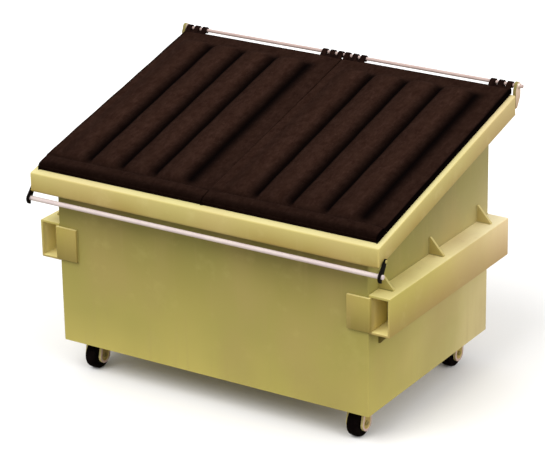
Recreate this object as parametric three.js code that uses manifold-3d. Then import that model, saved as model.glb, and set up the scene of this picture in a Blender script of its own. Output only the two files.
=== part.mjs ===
// A front-load refuse container: a welded steel tub on four swivel casters, with a sloping channel rim,
// a fork pocket along each side, two ribbed plastic lids on one hinge rod, and a swinging front bar.
// Units are millimetres. +X runs right along the front, +Y to the rear, +Z up, and the ground is at zero.
import * as THREE from 'three';
import { mergeVertices } from 'three/addons/utils/BufferGeometryUtils.js';
import Module from 'manifold-3d';

const wasm = await Module();
wasm.setup();

// Gaps, overruns and facet counts that every piece shares
const weldGap = 0.3;
const runningGap = 0.4;
const boreGap = 0.8;
const cutOverrun = 20;
const roundSides = 12;
const boltSides = 6;
const plateCurve = 4;

// Steel tub: its front wall's outer face is at y = 0 and it is centred on x = 0
const bodyWidth = 1829;
const bodyDepth = 1215;
const wallSheet = 3.5;
const floorSheet = 5;
const floorRise = 26;

// Channel rim, whose flat top slopes up from front to rear
const rimFrontHeight = 1106;
const rimRise = 348;
const rimFrontOverhang = 84;
const rimRearOverhang = 80;
const rimSideOverhang = 107;
const rimSheet = 4;
const rimFrontDrop = 107;
const rimRearDrop = 114;
const rimShoulderRadius = 9;
const rimToeRadius = 18;
const mitreGap = 0.6;

// Fork pockets, gussets and guide plates on the two sides
const pocketWidth = 118;
const pocketHeight = 203;
const pocketDrop = 286;
const pocketPlate = 12;
const pocketEdgeRadius = 4;
const pocketCurve = 1;
const gussetWidth = 84;
const gussetHeight = 88;
const gussetNose = 9;
const gussetTip = 4.5;
const gussetPlate = 15;
const gussetFrontInset = 103;
const gussetRearInset = 121;
const lowerGussetHeight = 84;
const guideReach = 114;
const guideDepth = 150;
const guidePlate = 15;
const guideBendRadius = 9;

// Hinge rod along the rear, its ears and end collars
const rodRadius = 9.5;
const rodSetback = 110;
const rodLift = 33;
const rodRightStub = 14.7;
const rodLeftStub = 2;
const earRadius = 20;
const leftEarGap = 1.5;
const rightEarGap = 9.5;
const earPlate = 18;
const earDrop = 114;
const earHeelDrop = 60;
const earFootDepth = 16;
const collarRadius = 14;
const collarLength = 8;

// Lids: two alike, side by side
const lidSideInset = 29.5;
const lidSeam = 4;
const lidFrontReach = 45;
const lidRearGap = 25;
const lidRest = 1;
const lidSheet = 5;
const lidDeck = 30;
const lidEdgeHeight = 24;
const lidEdgeRound = 6;
const beadDepth = 72;
const beadCrest = 50;
const beadPower = 3;
const ribCount = 4;
const ribFirst = 145;
const ribLastInset = 245;
const ribGap = 12;
const ribHeight = 21;
const ribFrontInset = 92;
const ribRearInset = 82;
const ribRamp = 44;
const ribPower = 2.6;
const ridgeHeight = 15;
const ridgeRamp = 13;
const knuckleRadius = 17;
const knuckleWidth = 30;
const knuckleTabGap = 5;
const knuckleInsets = [19, 67, 115];
const knuckleRoot = 14;
const ribSideShares = [-1, -0.7, 0, 0.7, 1];
const outerBeadShares = [0, 0.15, 0.5, 0.85, 1];
const outerRampShares = [0, 0.4, 1];
const innerBeadShares = [0, 0.5, 1];
const innerRampShares = [0, 1];

// Front bar, held in the hooks of two arms that turn on lugs on the side rails
const barRadius = 12.5;
const barStub = 8.3;
const barReach = 77;
const barDrop = 66;
const pivotReach = 40;
const pivotDrop = 86;
const pivotRadius = 5;
const pivotHeadRadius = 9;
const pivotHeadLength = 3;
const lugPlate = 4;
const lugRadius = 11;
const armPlate = 8;
const armTopRadius = 13;
const armHookRadius = 31;
const hookCurve = 6;
const stopRadius = 5;
const stopShare = 0.2;

// Casters
const casterSideInset = 124;
const casterEndInset = 134;
const casterTrail = 18;
const wheelRadius = 76;
const wheelFacets = 20;
const tyreWidth = 62;
const tyreShoulder = 12;
const tyreDepth = 26;
const hubDish = 3;
const hubBoss = 20;
const hubBossGap = 2;
const axleRadius = 6.5;
const axleHeadRadius = 12;
const axleHeadLength = 6;
const forkGap = 4;
const forkLegPlate = 14;
const forkRecessDepth = 5;
const forkLegRadius = 43;
const forkRimWidth = 12;
const crownHalfDepth = 38;
const crownPlate = 6;
const crownGap = 18.3;
const raceRadius = 30;
const raceHeight = 8;
const topPlateThickness = 6;
const topPlateHalfWidth = 55;
const topPlateHalfDepth = 48;
const boltInset = 13;
const boltRadius = 7;
const boltHeight = 6;
const kingpinRadius = 8;
const kingpinHeadRadius = 14;
const kingpinHeadHeight = 5;

// Sizes worked out from the driving ones
const halfWidth = bodyWidth / 2;
const rimHalfWidth = halfWidth + rimSideOverhang;
const rimDepth = rimFrontOverhang + bodyDepth + rimRearOverhang;
const rimSlope = rimRise / rimDepth;
const frontFlare = rimSideOverhang / rimFrontOverhang;
const rearFlare = rimSideOverhang / rimRearOverhang;
const rodY = bodyDepth + rodSetback;
const rodZ = rimTop(rodY) + rodLift;
const lidOuterEdge = rimHalfWidth - lidSideInset;
const lidWidth = lidOuterEdge - lidSeam / 2;
const lidRearY = rodY - lidRearGap;
const lidDepth = lidRearY + lidFrontReach;
const ribPitch = (lidWidth - ribFirst - ribLastInset) / (ribCount - 1);
const ribHalfWidth = (ribPitch - ribGap) / 2;
const pivotHeight = rimTop(-pivotReach) - pivotDrop;
const barHeight = pivotHeight - barDrop;
const pocketTop = rimFrontHeight - pocketDrop;
const pocketBottom = pocketTop - pocketHeight;

// Heights in a caster from the ground up to the floor pan, which stands on the casters
const axleHeight = wheelRadius;
const crownBottom = 2 * wheelRadius + crownGap;
const crownTop = crownBottom + crownPlate;
const lowerRaceTop = crownTop + raceHeight;
const upperRaceBottom = lowerRaceTop + runningGap;
const topPlateBottom = upperRaceBottom + raceHeight;
const topPlateTop = topPlateBottom + topPlateThickness;
const floorBottom = topPlateTop + weldGap;
const groundClearance = floorBottom - floorRise;
const legInner = tyreWidth / 2 + forkGap;
const legOuter = legInner + forkLegPlate;

// Height of the rim's flat top above the ground, at a distance behind the front wall
function rimTop(y) {
  return rimFrontHeight + rimSlope * (y + rimFrontOverhang);
}

// Finishes
const finishes = {
  paint: { color: 0xb3a863, roughness: 0.5, metalness: 0.1 },
  trim: { color: 0xc6ba74, roughness: 0.48, metalness: 0.1 },
  rod: { color: 0xe6d4d2, roughness: 0.35, metalness: 0.6 },
  strap: { color: 0x17120f, roughness: 0.55, metalness: 0.2 },
  lid: { color: 0x2b1f1b, roughness: 0.7, metalness: 0 },
  rubber: { color: 0x0f0c0b, roughness: 0.8, metalness: 0 },
  hub: { color: 0x2a2624, roughness: 0.6, metalness: 0.1 },
  zinc: { color: 0xb9b4a8, roughness: 0.4, metalness: 0.8 },
};

const container = new THREE.Group();

// Adds one named mesh to a group
function addPiece(group, name, geometry, finish) {
  const material = new THREE.MeshStandardMaterial({ ...finishes[finish], flatShading: true });
  const mesh = new THREE.Mesh(geometry, material);
  mesh.name = name;
  group.add(mesh);
  return mesh;
}

// Turns a closed geometry into a manifold solid
function toSolid(geometry) {
  const bare = geometry.clone();
  bare.deleteAttribute('normal');
  bare.deleteAttribute('uv');
  const merged = mergeVertices(bare);
  return new wasm.Manifold(new wasm.Mesh({
    numProp: 3,
    vertProperties: merged.attributes.position.array,
    triVerts: new Uint32Array(merged.index.array),
  }));
}

// Turns a manifold solid back into a geometry
function toGeometry(solid) {
  const mesh = solid.getMesh();
  const geometry = new THREE.BufferGeometry();
  geometry.setAttribute('position', new THREE.BufferAttribute(mesh.vertProperties, 3));
  geometry.setIndex(new THREE.BufferAttribute(mesh.triVerts, 1));
  geometry.computeVertexNormals();
  return geometry;
}

function joined(first, ...others) {
  return toGeometry(others.reduce((solid, other) => solid.add(toSolid(other)), toSolid(first)));
}

function cut(first, ...others) {
  return toGeometry(others.reduce((solid, other) => solid.subtract(toSolid(other)), toSolid(first)));
}

// Moves every vertex by a rule, and turns the faces round where the rule mirrors the shape
function reshaped(geometry, place) {
  const loose = geometry.index ? geometry.toNonIndexed() : geometry.clone();
  const position = loose.attributes.position;
  const corner = new THREE.Vector3();
  for (let i = 0; i < position.count; i += 1) {
    corner.fromBufferAttribute(position, i);
    position.setXYZ(i, ...place(corner.x, corner.y, corner.z));
  }
  if (signedVolume(position) < 0) {
    turnFaces(position);
  }
  loose.computeVertexNormals();
  return loose;
}

function signedVolume(position) {
  const [a, b, c] = [new THREE.Vector3(), new THREE.Vector3(), new THREE.Vector3()];
  let volume = 0;
  for (let i = 0; i < position.count; i += 3) {
    a.fromBufferAttribute(position, i);
    b.fromBufferAttribute(position, i + 1);
    c.fromBufferAttribute(position, i + 2);
    volume += a.dot(b.cross(c));
  }
  return volume;
}

function turnFaces(position) {
  for (let i = 0; i < position.count; i += 3) {
    const [x, y, z] = [position.getX(i + 1), position.getY(i + 1), position.getZ(i + 1)];
    position.setXYZ(i + 1, position.getX(i + 2), position.getY(i + 2), position.getZ(i + 2));
    position.setXYZ(i + 2, x, y, z);
  }
}

// Gives the right-hand piece for side 1 and its mirror image for side -1
function onSide(geometry, side) {
  return side > 0 ? geometry : reshaped(geometry, (x, y, z) => [-x, y, z]);
}

// A block between two opposite corners
function block(x0, x1, y0, y1, z0, z1) {
  const geometry = new THREE.BoxGeometry(x1 - x0, y1 - y0, z1 - z0);
  return geometry.translate((x0 + x1) / 2, (y0 + y1) / 2, (z0 + z1) / 2);
}

function outline(points) {
  return new THREE.Shape(points.map(([x, y]) => new THREE.Vector2(x, y)));
}

function extruded(shape, depth, curveSegments = 2) {
  return new THREE.ExtrudeGeometry(shape, { depth, bevelEnabled: false, curveSegments });
}

// A plate whose outline is drawn in y and z, from x0 to x1
function plateAcrossX(shape, x0, x1, curveSegments) {
  return reshaped(extruded(shape, x1 - x0, curveSegments), (y, z, x) => [x0 + x, y, z]);
}

// A plate whose outline is drawn in x and z, from y0 to y1
function plateAcrossY(shape, y0, y1, curveSegments) {
  return reshaped(extruded(shape, y1 - y0, curveSegments), (x, z, y) => [x, y0 + y, z]);
}

// A turned piece on an axis along x: its profile gives the distance along the axis and the radius
function turnedAlongX(profile, sides = roundSides) {
  const points = profile.map(([along, radius]) => new THREE.Vector2(radius, along));
  const half = Math.PI / sides;
  return reshaped(new THREE.LatheGeometry(points, sides, half), (x, y, z) => [y, x, z]);
}

// A turned piece on an upright axis
function turnedUpright(profile, sides = roundSides) {
  const points = profile.map(([height, radius]) => new THREE.Vector2(radius, height));
  return reshaped(new THREE.LatheGeometry(points, sides), (x, y, z) => [x, z, y]);
}

function rodAlongX(radius, x0, x1) {
  return turnedAlongX([[x0, 0], [x0, radius], [x1, radius], [x1, 0]]);
}

function uprightRod(radius, z0, z1) {
  return turnedUpright([[z0, 0], [z0, radius], [z1, radius], [z1, 0]]);
}

// A closed solid over a grid, between an upper and a lower height
function gridSolid(xs, ys, upper, lower) {
  const columns = xs.length;
  const layer = columns * ys.length;
  const points = [];
  for (const heightAt of [upper, lower]) {
    for (const y of ys) {
      for (const x of xs) {
        points.push(x, y, heightAt(x, y));
      }
    }
  }
  const index = [];
  const addQuad = (a, b, c, d) => index.push(a, b, c, a, c, d);
  for (let row = 0; row < ys.length - 1; row += 1) {
    for (let column = 0; column < columns - 1; column += 1) {
      const a = row * columns + column;
      addQuad(a, a + 1, a + columns + 1, a + columns);
      addQuad(layer + a, layer + a + columns, layer + a + columns + 1, layer + a + 1);
    }
  }
  const addWall = (a, b) => addQuad(layer + a, layer + b, b, a);
  for (let column = 0; column < columns - 1; column += 1) {
    const rear = (ys.length - 1) * columns + column;
    addWall(column, column + 1);
    addWall(rear + 1, rear);
  }
  for (let row = 0; row < ys.length - 1; row += 1) {
    const left = row * columns;
    const right = left + columns - 1;
    addWall(left + columns, left);
    addWall(right, right + columns);
  }
  const geometry = new THREE.BufferGeometry();
  geometry.setAttribute('position', new THREE.Float32BufferAttribute(points, 3));
  geometry.setIndex(index);
  return geometry;
}

// Tub: a floor pan between four upright walls, all butted with a weld gap
function addTub(group) {
  const inside = halfWidth - wallSheet - weldGap;
  const wallTopDrop = rimSheet + weldGap;
  const frontInside = wallSheet + weldGap;
  const rearInside = bodyDepth - wallSheet - weldGap;
  const floor = block(-inside, inside, frontInside, rearInside, floorBottom, floorBottom + floorSheet);
  addPiece(group, 'floor_pan', floor, 'paint');
  const crossWall = (y0, y1) => {
    const profile = outline([
      [y0, groundClearance],
      [y1, groundClearance],
      [y1, rimTop(y1) - wallTopDrop],
      [y0, rimTop(y0) - wallTopDrop],
    ]);
    return plateAcrossX(profile, -inside, inside);
  };
  addPiece(group, 'front_wall', crossWall(0, wallSheet), 'paint');
  addPiece(group, 'rear_wall', crossWall(bodyDepth - wallSheet, bodyDepth), 'paint');
  const sideProfile = outline([
    [0, groundClearance],
    [bodyDepth, groundClearance],
    [bodyDepth, rimTop(bodyDepth) - wallTopDrop],
    [0, rimTop(0) - wallTopDrop],
  ]);
  const sideWall = plateAcrossX(sideProfile, halfWidth - wallSheet, halfWidth);
  addPiece(group, 'left_wall', onSide(sideWall, -1), 'paint');
  addPiece(group, 'right_wall', onSide(sideWall, 1), 'paint');
}

// Section of a rim rail: u runs out from the wall and v down from the rim's top.
// A flat flange covers the wall's edge, a skirt hangs from it, and its toe rolls back to the wall.
// It's one unit long, and the third value, 0 or 1, says which end of the rail a vertex belongs to.
function railSection(overhang, drop) {
  const shoulder = rimShoulderRadius;
  const toe = rimToeRadius;
  const quarter = Math.PI / 2;
  const unit = 1;
  const shape = new THREE.Shape();
  shape.moveTo(-wallSheet, 0);
  shape.lineTo(overhang - shoulder, 0);
  shape.absarc(overhang - shoulder, -shoulder, shoulder, quarter, 0, true);
  shape.lineTo(overhang, toe - drop);
  shape.absarc(overhang - toe, toe - drop, toe, 0, -quarter, true);
  shape.lineTo(weldGap, -drop);
  shape.lineTo(weldGap, rimSheet - drop);
  shape.lineTo(overhang - toe, rimSheet - drop);
  shape.absarc(overhang - toe, toe - drop, toe - rimSheet, -quarter, 0, false);
  shape.lineTo(overhang - rimSheet, -shoulder);
  shape.absarc(overhang - shoulder, -shoulder, shoulder - rimSheet, 0, quarter, false);
  shape.lineTo(-wallSheet, -rimSheet);
  shape.closePath();
  return extruded(shape, unit);
}

// Where a side rail's mitred ends are, at a distance u out from the wall
function sideRailEnds(u) {
  const foremost = mitreGap / 2 - u / frontFlare;
  const rearmost = bodyDepth + u / rearFlare - mitreGap / 2;
  return [foremost, rearmost];
}

// Rim: four rails mitred at the corners, tilted with the rim's top
function addRim(group) {
  const halfMitre = mitreGap / 2;
  const tilted = (x, y, v) => [x, y, rimTop(y) + v];
  const across = (end, u, flare) => (2 * end - 1) * (halfWidth + u * flare - halfMitre);
  const front = reshaped(railSection(rimFrontOverhang, rimFrontDrop), (u, v, end) =>
    tilted(across(end, u, frontFlare), -u, v));
  const rear = reshaped(railSection(rimRearOverhang, rimRearDrop), (u, v, end) =>
    tilted(across(end, u, rearFlare), bodyDepth + u, v));
  const extraDrop = rimRearDrop - rimFrontDrop;
  const side = reshaped(railSection(rimSideOverhang, rimFrontDrop), (u, v, end) => {
    const [foremost, rearmost] = sideRailEnds(u);
    const sunk = v < -rimFrontDrop / 2 ? extraDrop * end : 0;
    return tilted(halfWidth + u, foremost + (rearmost - foremost) * end, v - sunk);
  });
  addPiece(group, 'front_rim_rail', front, 'trim');
  addPiece(group, 'rear_rim_rail', rear, 'trim');
  addPiece(group, 'left_rim_rail', onSide(side, -1), 'trim');
  addPiece(group, 'right_rim_rail', onSide(side, 1), 'trim');
}

// Fork pocket: a channel open to the wall, along the whole side
function pocketGeometry() {
  const inner = halfWidth + weldGap;
  const outer = halfWidth + pocketWidth;
  const edge = pocketEdgeRadius;
  const quarter = Math.PI / 2;
  const shape = new THREE.Shape();
  shape.moveTo(inner, pocketTop);
  shape.lineTo(outer - edge, pocketTop);
  shape.absarc(outer - edge, pocketTop - edge, edge, quarter, 0, true);
  shape.lineTo(outer, pocketBottom + edge);
  shape.absarc(outer - edge, pocketBottom + edge, edge, 0, -quarter, true);
  shape.lineTo(inner, pocketBottom);
  shape.lineTo(inner, pocketBottom + pocketPlate);
  shape.lineTo(outer - pocketPlate, pocketBottom + pocketPlate);
  shape.lineTo(outer - pocketPlate, pocketTop - pocketPlate);
  shape.lineTo(inner, pocketTop - pocketPlate);
  shape.closePath();
  return plateAcrossY(shape, 0, bodyDepth, pocketCurve);
}

// Gusset: a triangular plate with a blunt nose, standing on the pocket or hanging under it
function gussetGeometry(seat, height, y) {
  const inner = halfWidth + weldGap;
  const tall = Math.sign(height);
  const shape = outline([
    [inner, seat],
    [halfWidth + gussetWidth, seat],
    [halfWidth + gussetWidth, seat + tall * gussetTip],
    [inner + gussetNose, seat + height],
    [inner, seat + height],
  ]);
  return plateAcrossY(shape, y - gussetPlate / 2, y + gussetPlate / 2);
}

// Guide plate: bent round the tub's front corner and on into the pocket's mouth
function guideGeometry() {
  const seat = weldGap;
  const face = seat + guidePlate;
  const bend = guideBendRadius;
  const shape = new THREE.Shape();
  shape.moveTo(halfWidth - guideReach, -seat);
  shape.lineTo(halfWidth - guideReach, -face);
  shape.lineTo(halfWidth + face - bend, -face);
  shape.absarc(halfWidth + face - bend, bend - face, bend, -Math.PI / 2, 0, false);
  shape.lineTo(halfWidth + face, guideDepth);
  shape.lineTo(halfWidth + seat, guideDepth);
  shape.lineTo(halfWidth + seat, -seat);
  shape.closePath();
  const foot = pocketBottom + pocketPlate + weldGap;
  const height = pocketTop - pocketBottom - 2 * (pocketPlate + weldGap);
  return extruded(shape, height).translate(0, 0, foot);
}

function addSideFittings(group, side, label) {
  addPiece(group, `${label}_fork_pocket`, onSide(pocketGeometry(), side), 'paint');
  addPiece(group, `${label}_guide_plate`, onSide(guideGeometry(), side), 'trim');
  const rearmost = bodyDepth - gussetRearInset;
  const midway = (gussetFrontInset + rearmost) / 2;
  const places = { front: gussetFrontInset, middle: midway, rear: rearmost };
  for (const [place, y] of Object.entries(places)) {
    const upper = gussetGeometry(pocketTop + weldGap, gussetHeight, y);
    addPiece(group, `${label}_${place}_gusset`, onSide(upper, side), 'trim');
  }
  const lower = gussetGeometry(pocketBottom - weldGap, -lowerGussetHeight, gussetFrontInset);
  addPiece(group, `${label}_lower_gusset`, onSide(lower, side), 'trim');
}

// Hinge ear: an upright plate on the rear rail, beside a lid, with a round head bored for the rod
function earGeometry(gap) {
  const back = bodyDepth + rimRearOverhang + weldGap;
  const foot = rodZ - earDrop;
  const shape = new THREE.Shape();
  shape.moveTo(back, foot);
  shape.lineTo(back + earFootDepth, foot);
  shape.lineTo(rodY + earRadius, rodZ - earHeelDrop);
  shape.lineTo(rodY + earRadius, rodZ);
  shape.absarc(rodY, rodZ, earRadius, 0, Math.PI, false);
  shape.lineTo(back, rodZ - earRadius);
  shape.closePath();
  const inner = lidOuterEdge + gap;
  const outer = inner + earPlate;
  const plate = plateAcrossX(shape, inner, outer, plateCurve);
  const bore = rodAlongX(rodRadius + boreGap, inner - cutOverrun, outer + cutOverrun);
  return cut(plate, bore.translate(0, rodY, rodZ));
}

// The rod ends just past the left ear, and runs on past the right one to a collar
function addHinge(group) {
  const seat = lidOuterEdge + rightEarGap + earPlate + weldGap;
  const rodLeft = -(lidOuterEdge + leftEarGap + earPlate + rodLeftStub);
  const rodRight = seat + collarLength + rodRightStub;
  const rod = addPiece(group, 'hinge_rod', rodAlongX(rodRadius, rodLeft, rodRight), 'rod');
  rod.position.set(0, rodY, rodZ);
  addPiece(group, 'left_hinge_ear', onSide(earGeometry(leftEarGap), -1), 'trim');
  addPiece(group, 'right_hinge_ear', earGeometry(rightEarGap), 'trim');
  const bore = rodRadius + weldGap;
  const ring = turnedAlongX([
    [seat, bore],
    [seat, collarRadius],
    [seat + collarLength, collarRadius],
    [seat + collarLength, bore],
    [seat, bore],
  ]);
  const collar = addPiece(group, 'rod_collar', ring, 'zinc');
  collar.position.set(0, rodY, rodZ);
}

// Height of the lid's outer surface above the rim's top, at x from its left edge and y from its front
function lidTop(x, y) {
  const edge = Math.min(x, lidWidth - x, lidDepth - y);
  const rounding = Math.min(1, Math.max(0, edge) / lidEdgeRound);
  const plain = lidEdgeHeight + (lidDeck - lidEdgeHeight) * Math.sqrt(rounding);
  const deck = plain + ridgeRise(x, y);
  if (y < beadDepth) {
    return beadHeight(y / beadDepth, plain, deck);
  }
  const fromFront = (y - ribFrontInset) / ribRamp;
  const fromRear = (lidDepth - ribRearInset - y) / ribRamp;
  const ends = Math.min(1, Math.max(0, Math.min(fromFront, fromRear)));
  const rise = Math.sin(ends * Math.PI / 2);
  return deck + ribHeight * rise * ribProfile(x);
}

// Ridge along the lid's left edge, highest at the front and gone at the rear
function ridgeRise(x, y) {
  const foot = ribFirst - ribHalfWidth;
  const flank = Math.min(1, Math.max(0, (foot - x) / ridgeRamp));
  return ridgeHeight * flank * (1 - y / lidDepth);
}

// Round bead along the lid's front edge: up from the rim, over its crest, and down to the deck
function beadHeight(share, plain, deck) {
  const crest = beadCrest - (lidDeck - plain);
  const low = share < 0.5 ? lidEdgeHeight : deck;
  const arch = Math.max(0, 1 - Math.abs(2 * share - 1) ** beadPower) ** (1 / beadPower);
  return low + (crest - low) * arch;
}

function ribProfile(x) {
  let height = 0;
  for (let rib = 0; rib < ribCount; rib += 1) {
    const share = Math.abs(x - ribFirst - rib * ribPitch) / ribHalfWidth;
    height = Math.max(height, 1 - share ** ribPower);
  }
  return height;
}

// Grid lines of the lid's surface, the outer ones moved in by an inset
function lidColumns(inset) {
  const columns = [inset, inset + lidEdgeRound, ribFirst - ribHalfWidth - ridgeRamp];
  for (let rib = 0; rib < ribCount; rib += 1) {
    const centre = ribFirst + rib * ribPitch;
    columns.push(...ribSideShares.map((share) => centre + share * ribHalfWidth));
  }
  columns.push(lidWidth - inset - lidEdgeRound, lidWidth - inset);
  return columns;
}

function lidRows(inset, beadShares, rampShares) {
  const ribRear = lidDepth - ribRearInset;
  return [
    ...beadShares.map((share) => inset + share * (beadDepth - inset)),
    ...rampShares.map((share) => ribFrontInset + share * ribRamp),
    ...rampShares.map((share) => ribRear - share * ribRamp).reverse(),
    lidDepth - inset - lidEdgeRound,
    lidDepth - inset,
  ];
}

// One lid: a ribbed shell with a turned-down lip, and knuckles that wrap the hinge rod.
// Its left edge is at x = 0, and y and z are those of the whole container.
function lidGeometry() {
  const outerRows = lidRows(0, outerBeadShares, outerRampShares);
  const innerRows = lidRows(lidSheet, innerBeadShares, innerRampShares);
  const outer = gridSolid(lidColumns(0), outerRows, lidTop, () => lidRest);
  const inner = gridSolid(
    lidColumns(lidSheet),
    innerRows,
    (x, y) => lidTop(x, y) - lidSheet,
    () => lidRest - cutOverrun,
  );
  const flat = cut(outer, inner);
  const shell = reshaped(flat, (x, y, v) => [x, y - lidFrontReach, rimTop(y - lidFrontReach) + v]);
  const right = knuckleInsets.map((inset) => lidWidth - inset);
  const knuckles = [...knuckleInsets, ...right].map((x) => knuckleGeometry(x, x));
  const groups = [knuckleInsets, right];
  const tabs = groups.map((places) => tabGeometry(Math.min(...places), Math.max(...places)));
  const whole = joined(shell, ...tabs, ...knuckles);
  const bore = rodAlongX(rodRadius + boreGap, -cutOverrun, lidWidth + cutOverrun);
  return cut(whole, bore.translate(0, rodY, rodZ));
}

// Knuckle: an arm from the lid's rear edge that ends in a round barrel on the rod
function knuckleGeometry(first, last) {
  const rootY = lidRearY - knuckleRoot;
  const deck = rimTop(rootY) + lidDeck;
  const eighth = Math.PI / 4;
  const shape = new THREE.Shape();
  shape.moveTo(rootY, deck - lidSheet);
  shape.lineTo(rootY, deck);
  shape.lineTo(rodY - knuckleRadius * Math.SQRT1_2, rodZ + knuckleRadius * Math.SQRT1_2);
  shape.absarc(rodY, rodZ, knuckleRadius, 3 * eighth, -2 * eighth, true);
  shape.lineTo(lidRearY - lidSheet, rimTop(lidRearY) + lidRest + lidSheet);
  shape.closePath();
  return plateAcrossX(shape, first - knuckleWidth / 2, last + knuckleWidth / 2, plateCurve);
}

// Tab: the same arm, as wide as a group of knuckles and stopping short of their barrels
function tabGeometry(first, last) {
  const end = rodY - knuckleRadius + knuckleTabGap;
  const beyond = block(
    first - knuckleWidth, last + knuckleWidth,
    end, rodY + knuckleRadius + cutOverrun,
    rodZ - knuckleRadius - cutOverrun, rodZ + knuckleRadius + cutOverrun,
  );
  return cut(knuckleGeometry(first, last), beyond);
}

function addLids(group) {
  const geometry = lidGeometry();
  const left = addPiece(group, 'left_lid', geometry, 'lid');
  left.position.x = -lidOuterEdge;
  const right = addPiece(group, 'right_lid', geometry.clone(), 'lid');
  right.position.x = lidSeam / 2;
}

// Arm's places in y and z: its pivot, the bar it holds, and where its rear edge starts and ends
function armPlan() {
  const pivot = new THREE.Vector2(-pivotReach, pivotHeight);
  const bar = new THREE.Vector2(-barReach, barHeight);
  const hold = barRadius + weldGap;
  const along = bar.clone().sub(pivot).normalize();
  const rearward = new THREE.Vector2(-along.y, along.x);
  const rearTop = rearward.clone().multiplyScalar(armTopRadius).add(pivot);
  const rearFoot = new THREE.Vector2(hold, 0).add(bar);
  return { pivot, bar, hold, along, rearTop, rearFoot };
}

// Arm of the front bar: a strap bored for its pivot, with a hook at the foot that holds the bar
function armGeometry(inner) {
  const { pivot, bar, hold, along, rearTop } = armPlan();
  const angle = along.angle();
  const quarter = Math.PI / 2;
  const shape = new THREE.Shape();
  shape.moveTo(rearTop.x, rearTop.y);
  shape.absarc(pivot.x, pivot.y, armTopRadius, angle + quarter, angle - quarter, false);
  shape.absarc(bar.x, bar.y, armHookRadius, angle - quarter, 3 * quarter, false);
  shape.absarc(bar.x, bar.y, hold, 3 * quarter, 0, true);
  shape.closePath();
  const strap = plateAcrossX(shape, inner, inner + armPlate, hookCurve);
  const ends = [inner - cutOverrun, inner + armPlate + cutOverrun];
  return cut(strap, rodAlongX(pivotRadius + boreGap, ...ends).translate(0, pivot.x, pivot.y));
}

// Lug: a plate on the side rail's skirt, with a headed pivot and a stop that the arm's rear edge rests on
function lugGeometry() {
  const { pivot, rearTop, rearFoot } = armPlan();
  const edge = rearFoot.clone().sub(rearTop);
  const square = new THREE.Vector2(-edge.y, edge.x).normalize();
  const stop = edge.multiplyScalar(stopShare).add(rearTop);
  stop.addScaledVector(square, stopRadius + runningGap);
  const lean = stop.clone().sub(pivot).angle();
  const quarter = Math.PI / 2;
  const shape = new THREE.Shape();
  shape.absarc(pivot.x, pivot.y, lugRadius, lean + quarter, lean - quarter, false);
  shape.absarc(stop.x, stop.y, lugRadius - pivotHeadLength, lean - quarter, lean + quarter, false);
  shape.closePath();
  const base = rimHalfWidth + weldGap;
  const root = base + lugPlate / 2;
  const face = base + lugPlate;
  const head = face + armPlate + 2 * runningGap;
  const pin = turnedAlongX([
    [root, 0],
    [root, pivotRadius],
    [head, pivotRadius],
    [head, pivotHeadRadius],
    [head + pivotHeadLength, pivotHeadRadius],
    [head + pivotHeadLength, 0],
  ]);
  const peg = rodAlongX(stopRadius, root, face + armPlate);
  return joined(
    plateAcrossX(shape, base, face, plateCurve),
    pin.translate(0, pivot.x, pivot.y),
    peg.translate(0, stop.x, stop.y),
  );
}

function addFrontBar(group) {
  const armInner = rimHalfWidth + weldGap + lugPlate + runningGap;
  const barEnd = armInner + armPlate + barStub;
  const bar = addPiece(group, 'front_bar', rodAlongX(barRadius, -barEnd, barEnd), 'rod');
  bar.position.set(0, -barReach, barHeight);
  for (const [label, side] of [['left', -1], ['right', 1]]) {
    addPiece(group, `${label}_bar_lug`, onSide(lugGeometry(), side), 'trim');
    addPiece(group, `${label}_bar_arm`, onSide(armGeometry(armInner), side), 'strap');
  }
}

// Top plate: a bolted plate with the upper bearing race under it and a bore for the kingpin
function topPlateGeometry() {
  const plate = block(
    -topPlateHalfWidth, topPlateHalfWidth,
    -topPlateHalfDepth, topPlateHalfDepth,
    topPlateBottom, topPlateTop,
  );
  const race = uprightRod(raceRadius, upperRaceBottom, topPlateBottom);
  const bolts = [];
  for (const x of [boltInset - topPlateHalfWidth, topPlateHalfWidth - boltInset]) {
    for (const y of [boltInset - topPlateHalfDepth, topPlateHalfDepth - boltInset]) {
      const bolt = turnedUpright([
        [topPlateBottom - boltHeight, 0],
        [topPlateBottom - boltHeight, boltRadius],
        [topPlateBottom, boltRadius],
        [topPlateBottom, 0],
      ], boltSides);
      bolts.push(bolt.translate(x, y, 0));
    }
  }
  const bore = uprightRod(kingpinRadius + weldGap, upperRaceBottom - cutOverrun, topPlateTop + cutOverrun);
  return cut(joined(plate, race, ...bolts), bore);
}

function kingpinGeometry() {
  const headTop = crownBottom - runningGap;
  return turnedUpright([
    [headTop - kingpinHeadHeight, 0],
    [headTop - kingpinHeadHeight, kingpinHeadRadius],
    [headTop, kingpinHeadRadius],
    [headTop, kingpinRadius],
    [topPlateTop, kingpinRadius],
    [topPlateTop, 0],
  ]);
}

// Outline of a fork leg in y and z: straight down from the crown, round below the axle
function legShape(radius, top) {
  const shape = new THREE.Shape();
  shape.moveTo(crownHalfDepth, top);
  shape.lineTo(-crownHalfDepth, top);
  shape.lineTo(-casterTrail - radius, axleHeight);
  shape.absarc(-casterTrail, axleHeight, radius, Math.PI, 2 * Math.PI, false);
  shape.closePath();
  return shape;
}

// Recess in the leg's outer face, inside a raised rim
function recessShape() {
  const radius = forkLegRadius - forkRimWidth;
  const top = crownBottom - forkRimWidth;
  const shape = new THREE.Shape();
  shape.moveTo(crownHalfDepth - 2 * forkRimWidth, top);
  shape.lineTo(-crownHalfDepth + forkRimWidth, top);
  shape.lineTo(-casterTrail - radius, axleHeight);
  shape.absarc(-casterTrail, axleHeight, radius, Math.PI, 2 * Math.PI, false);
  shape.closePath();
  return shape;
}

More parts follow.
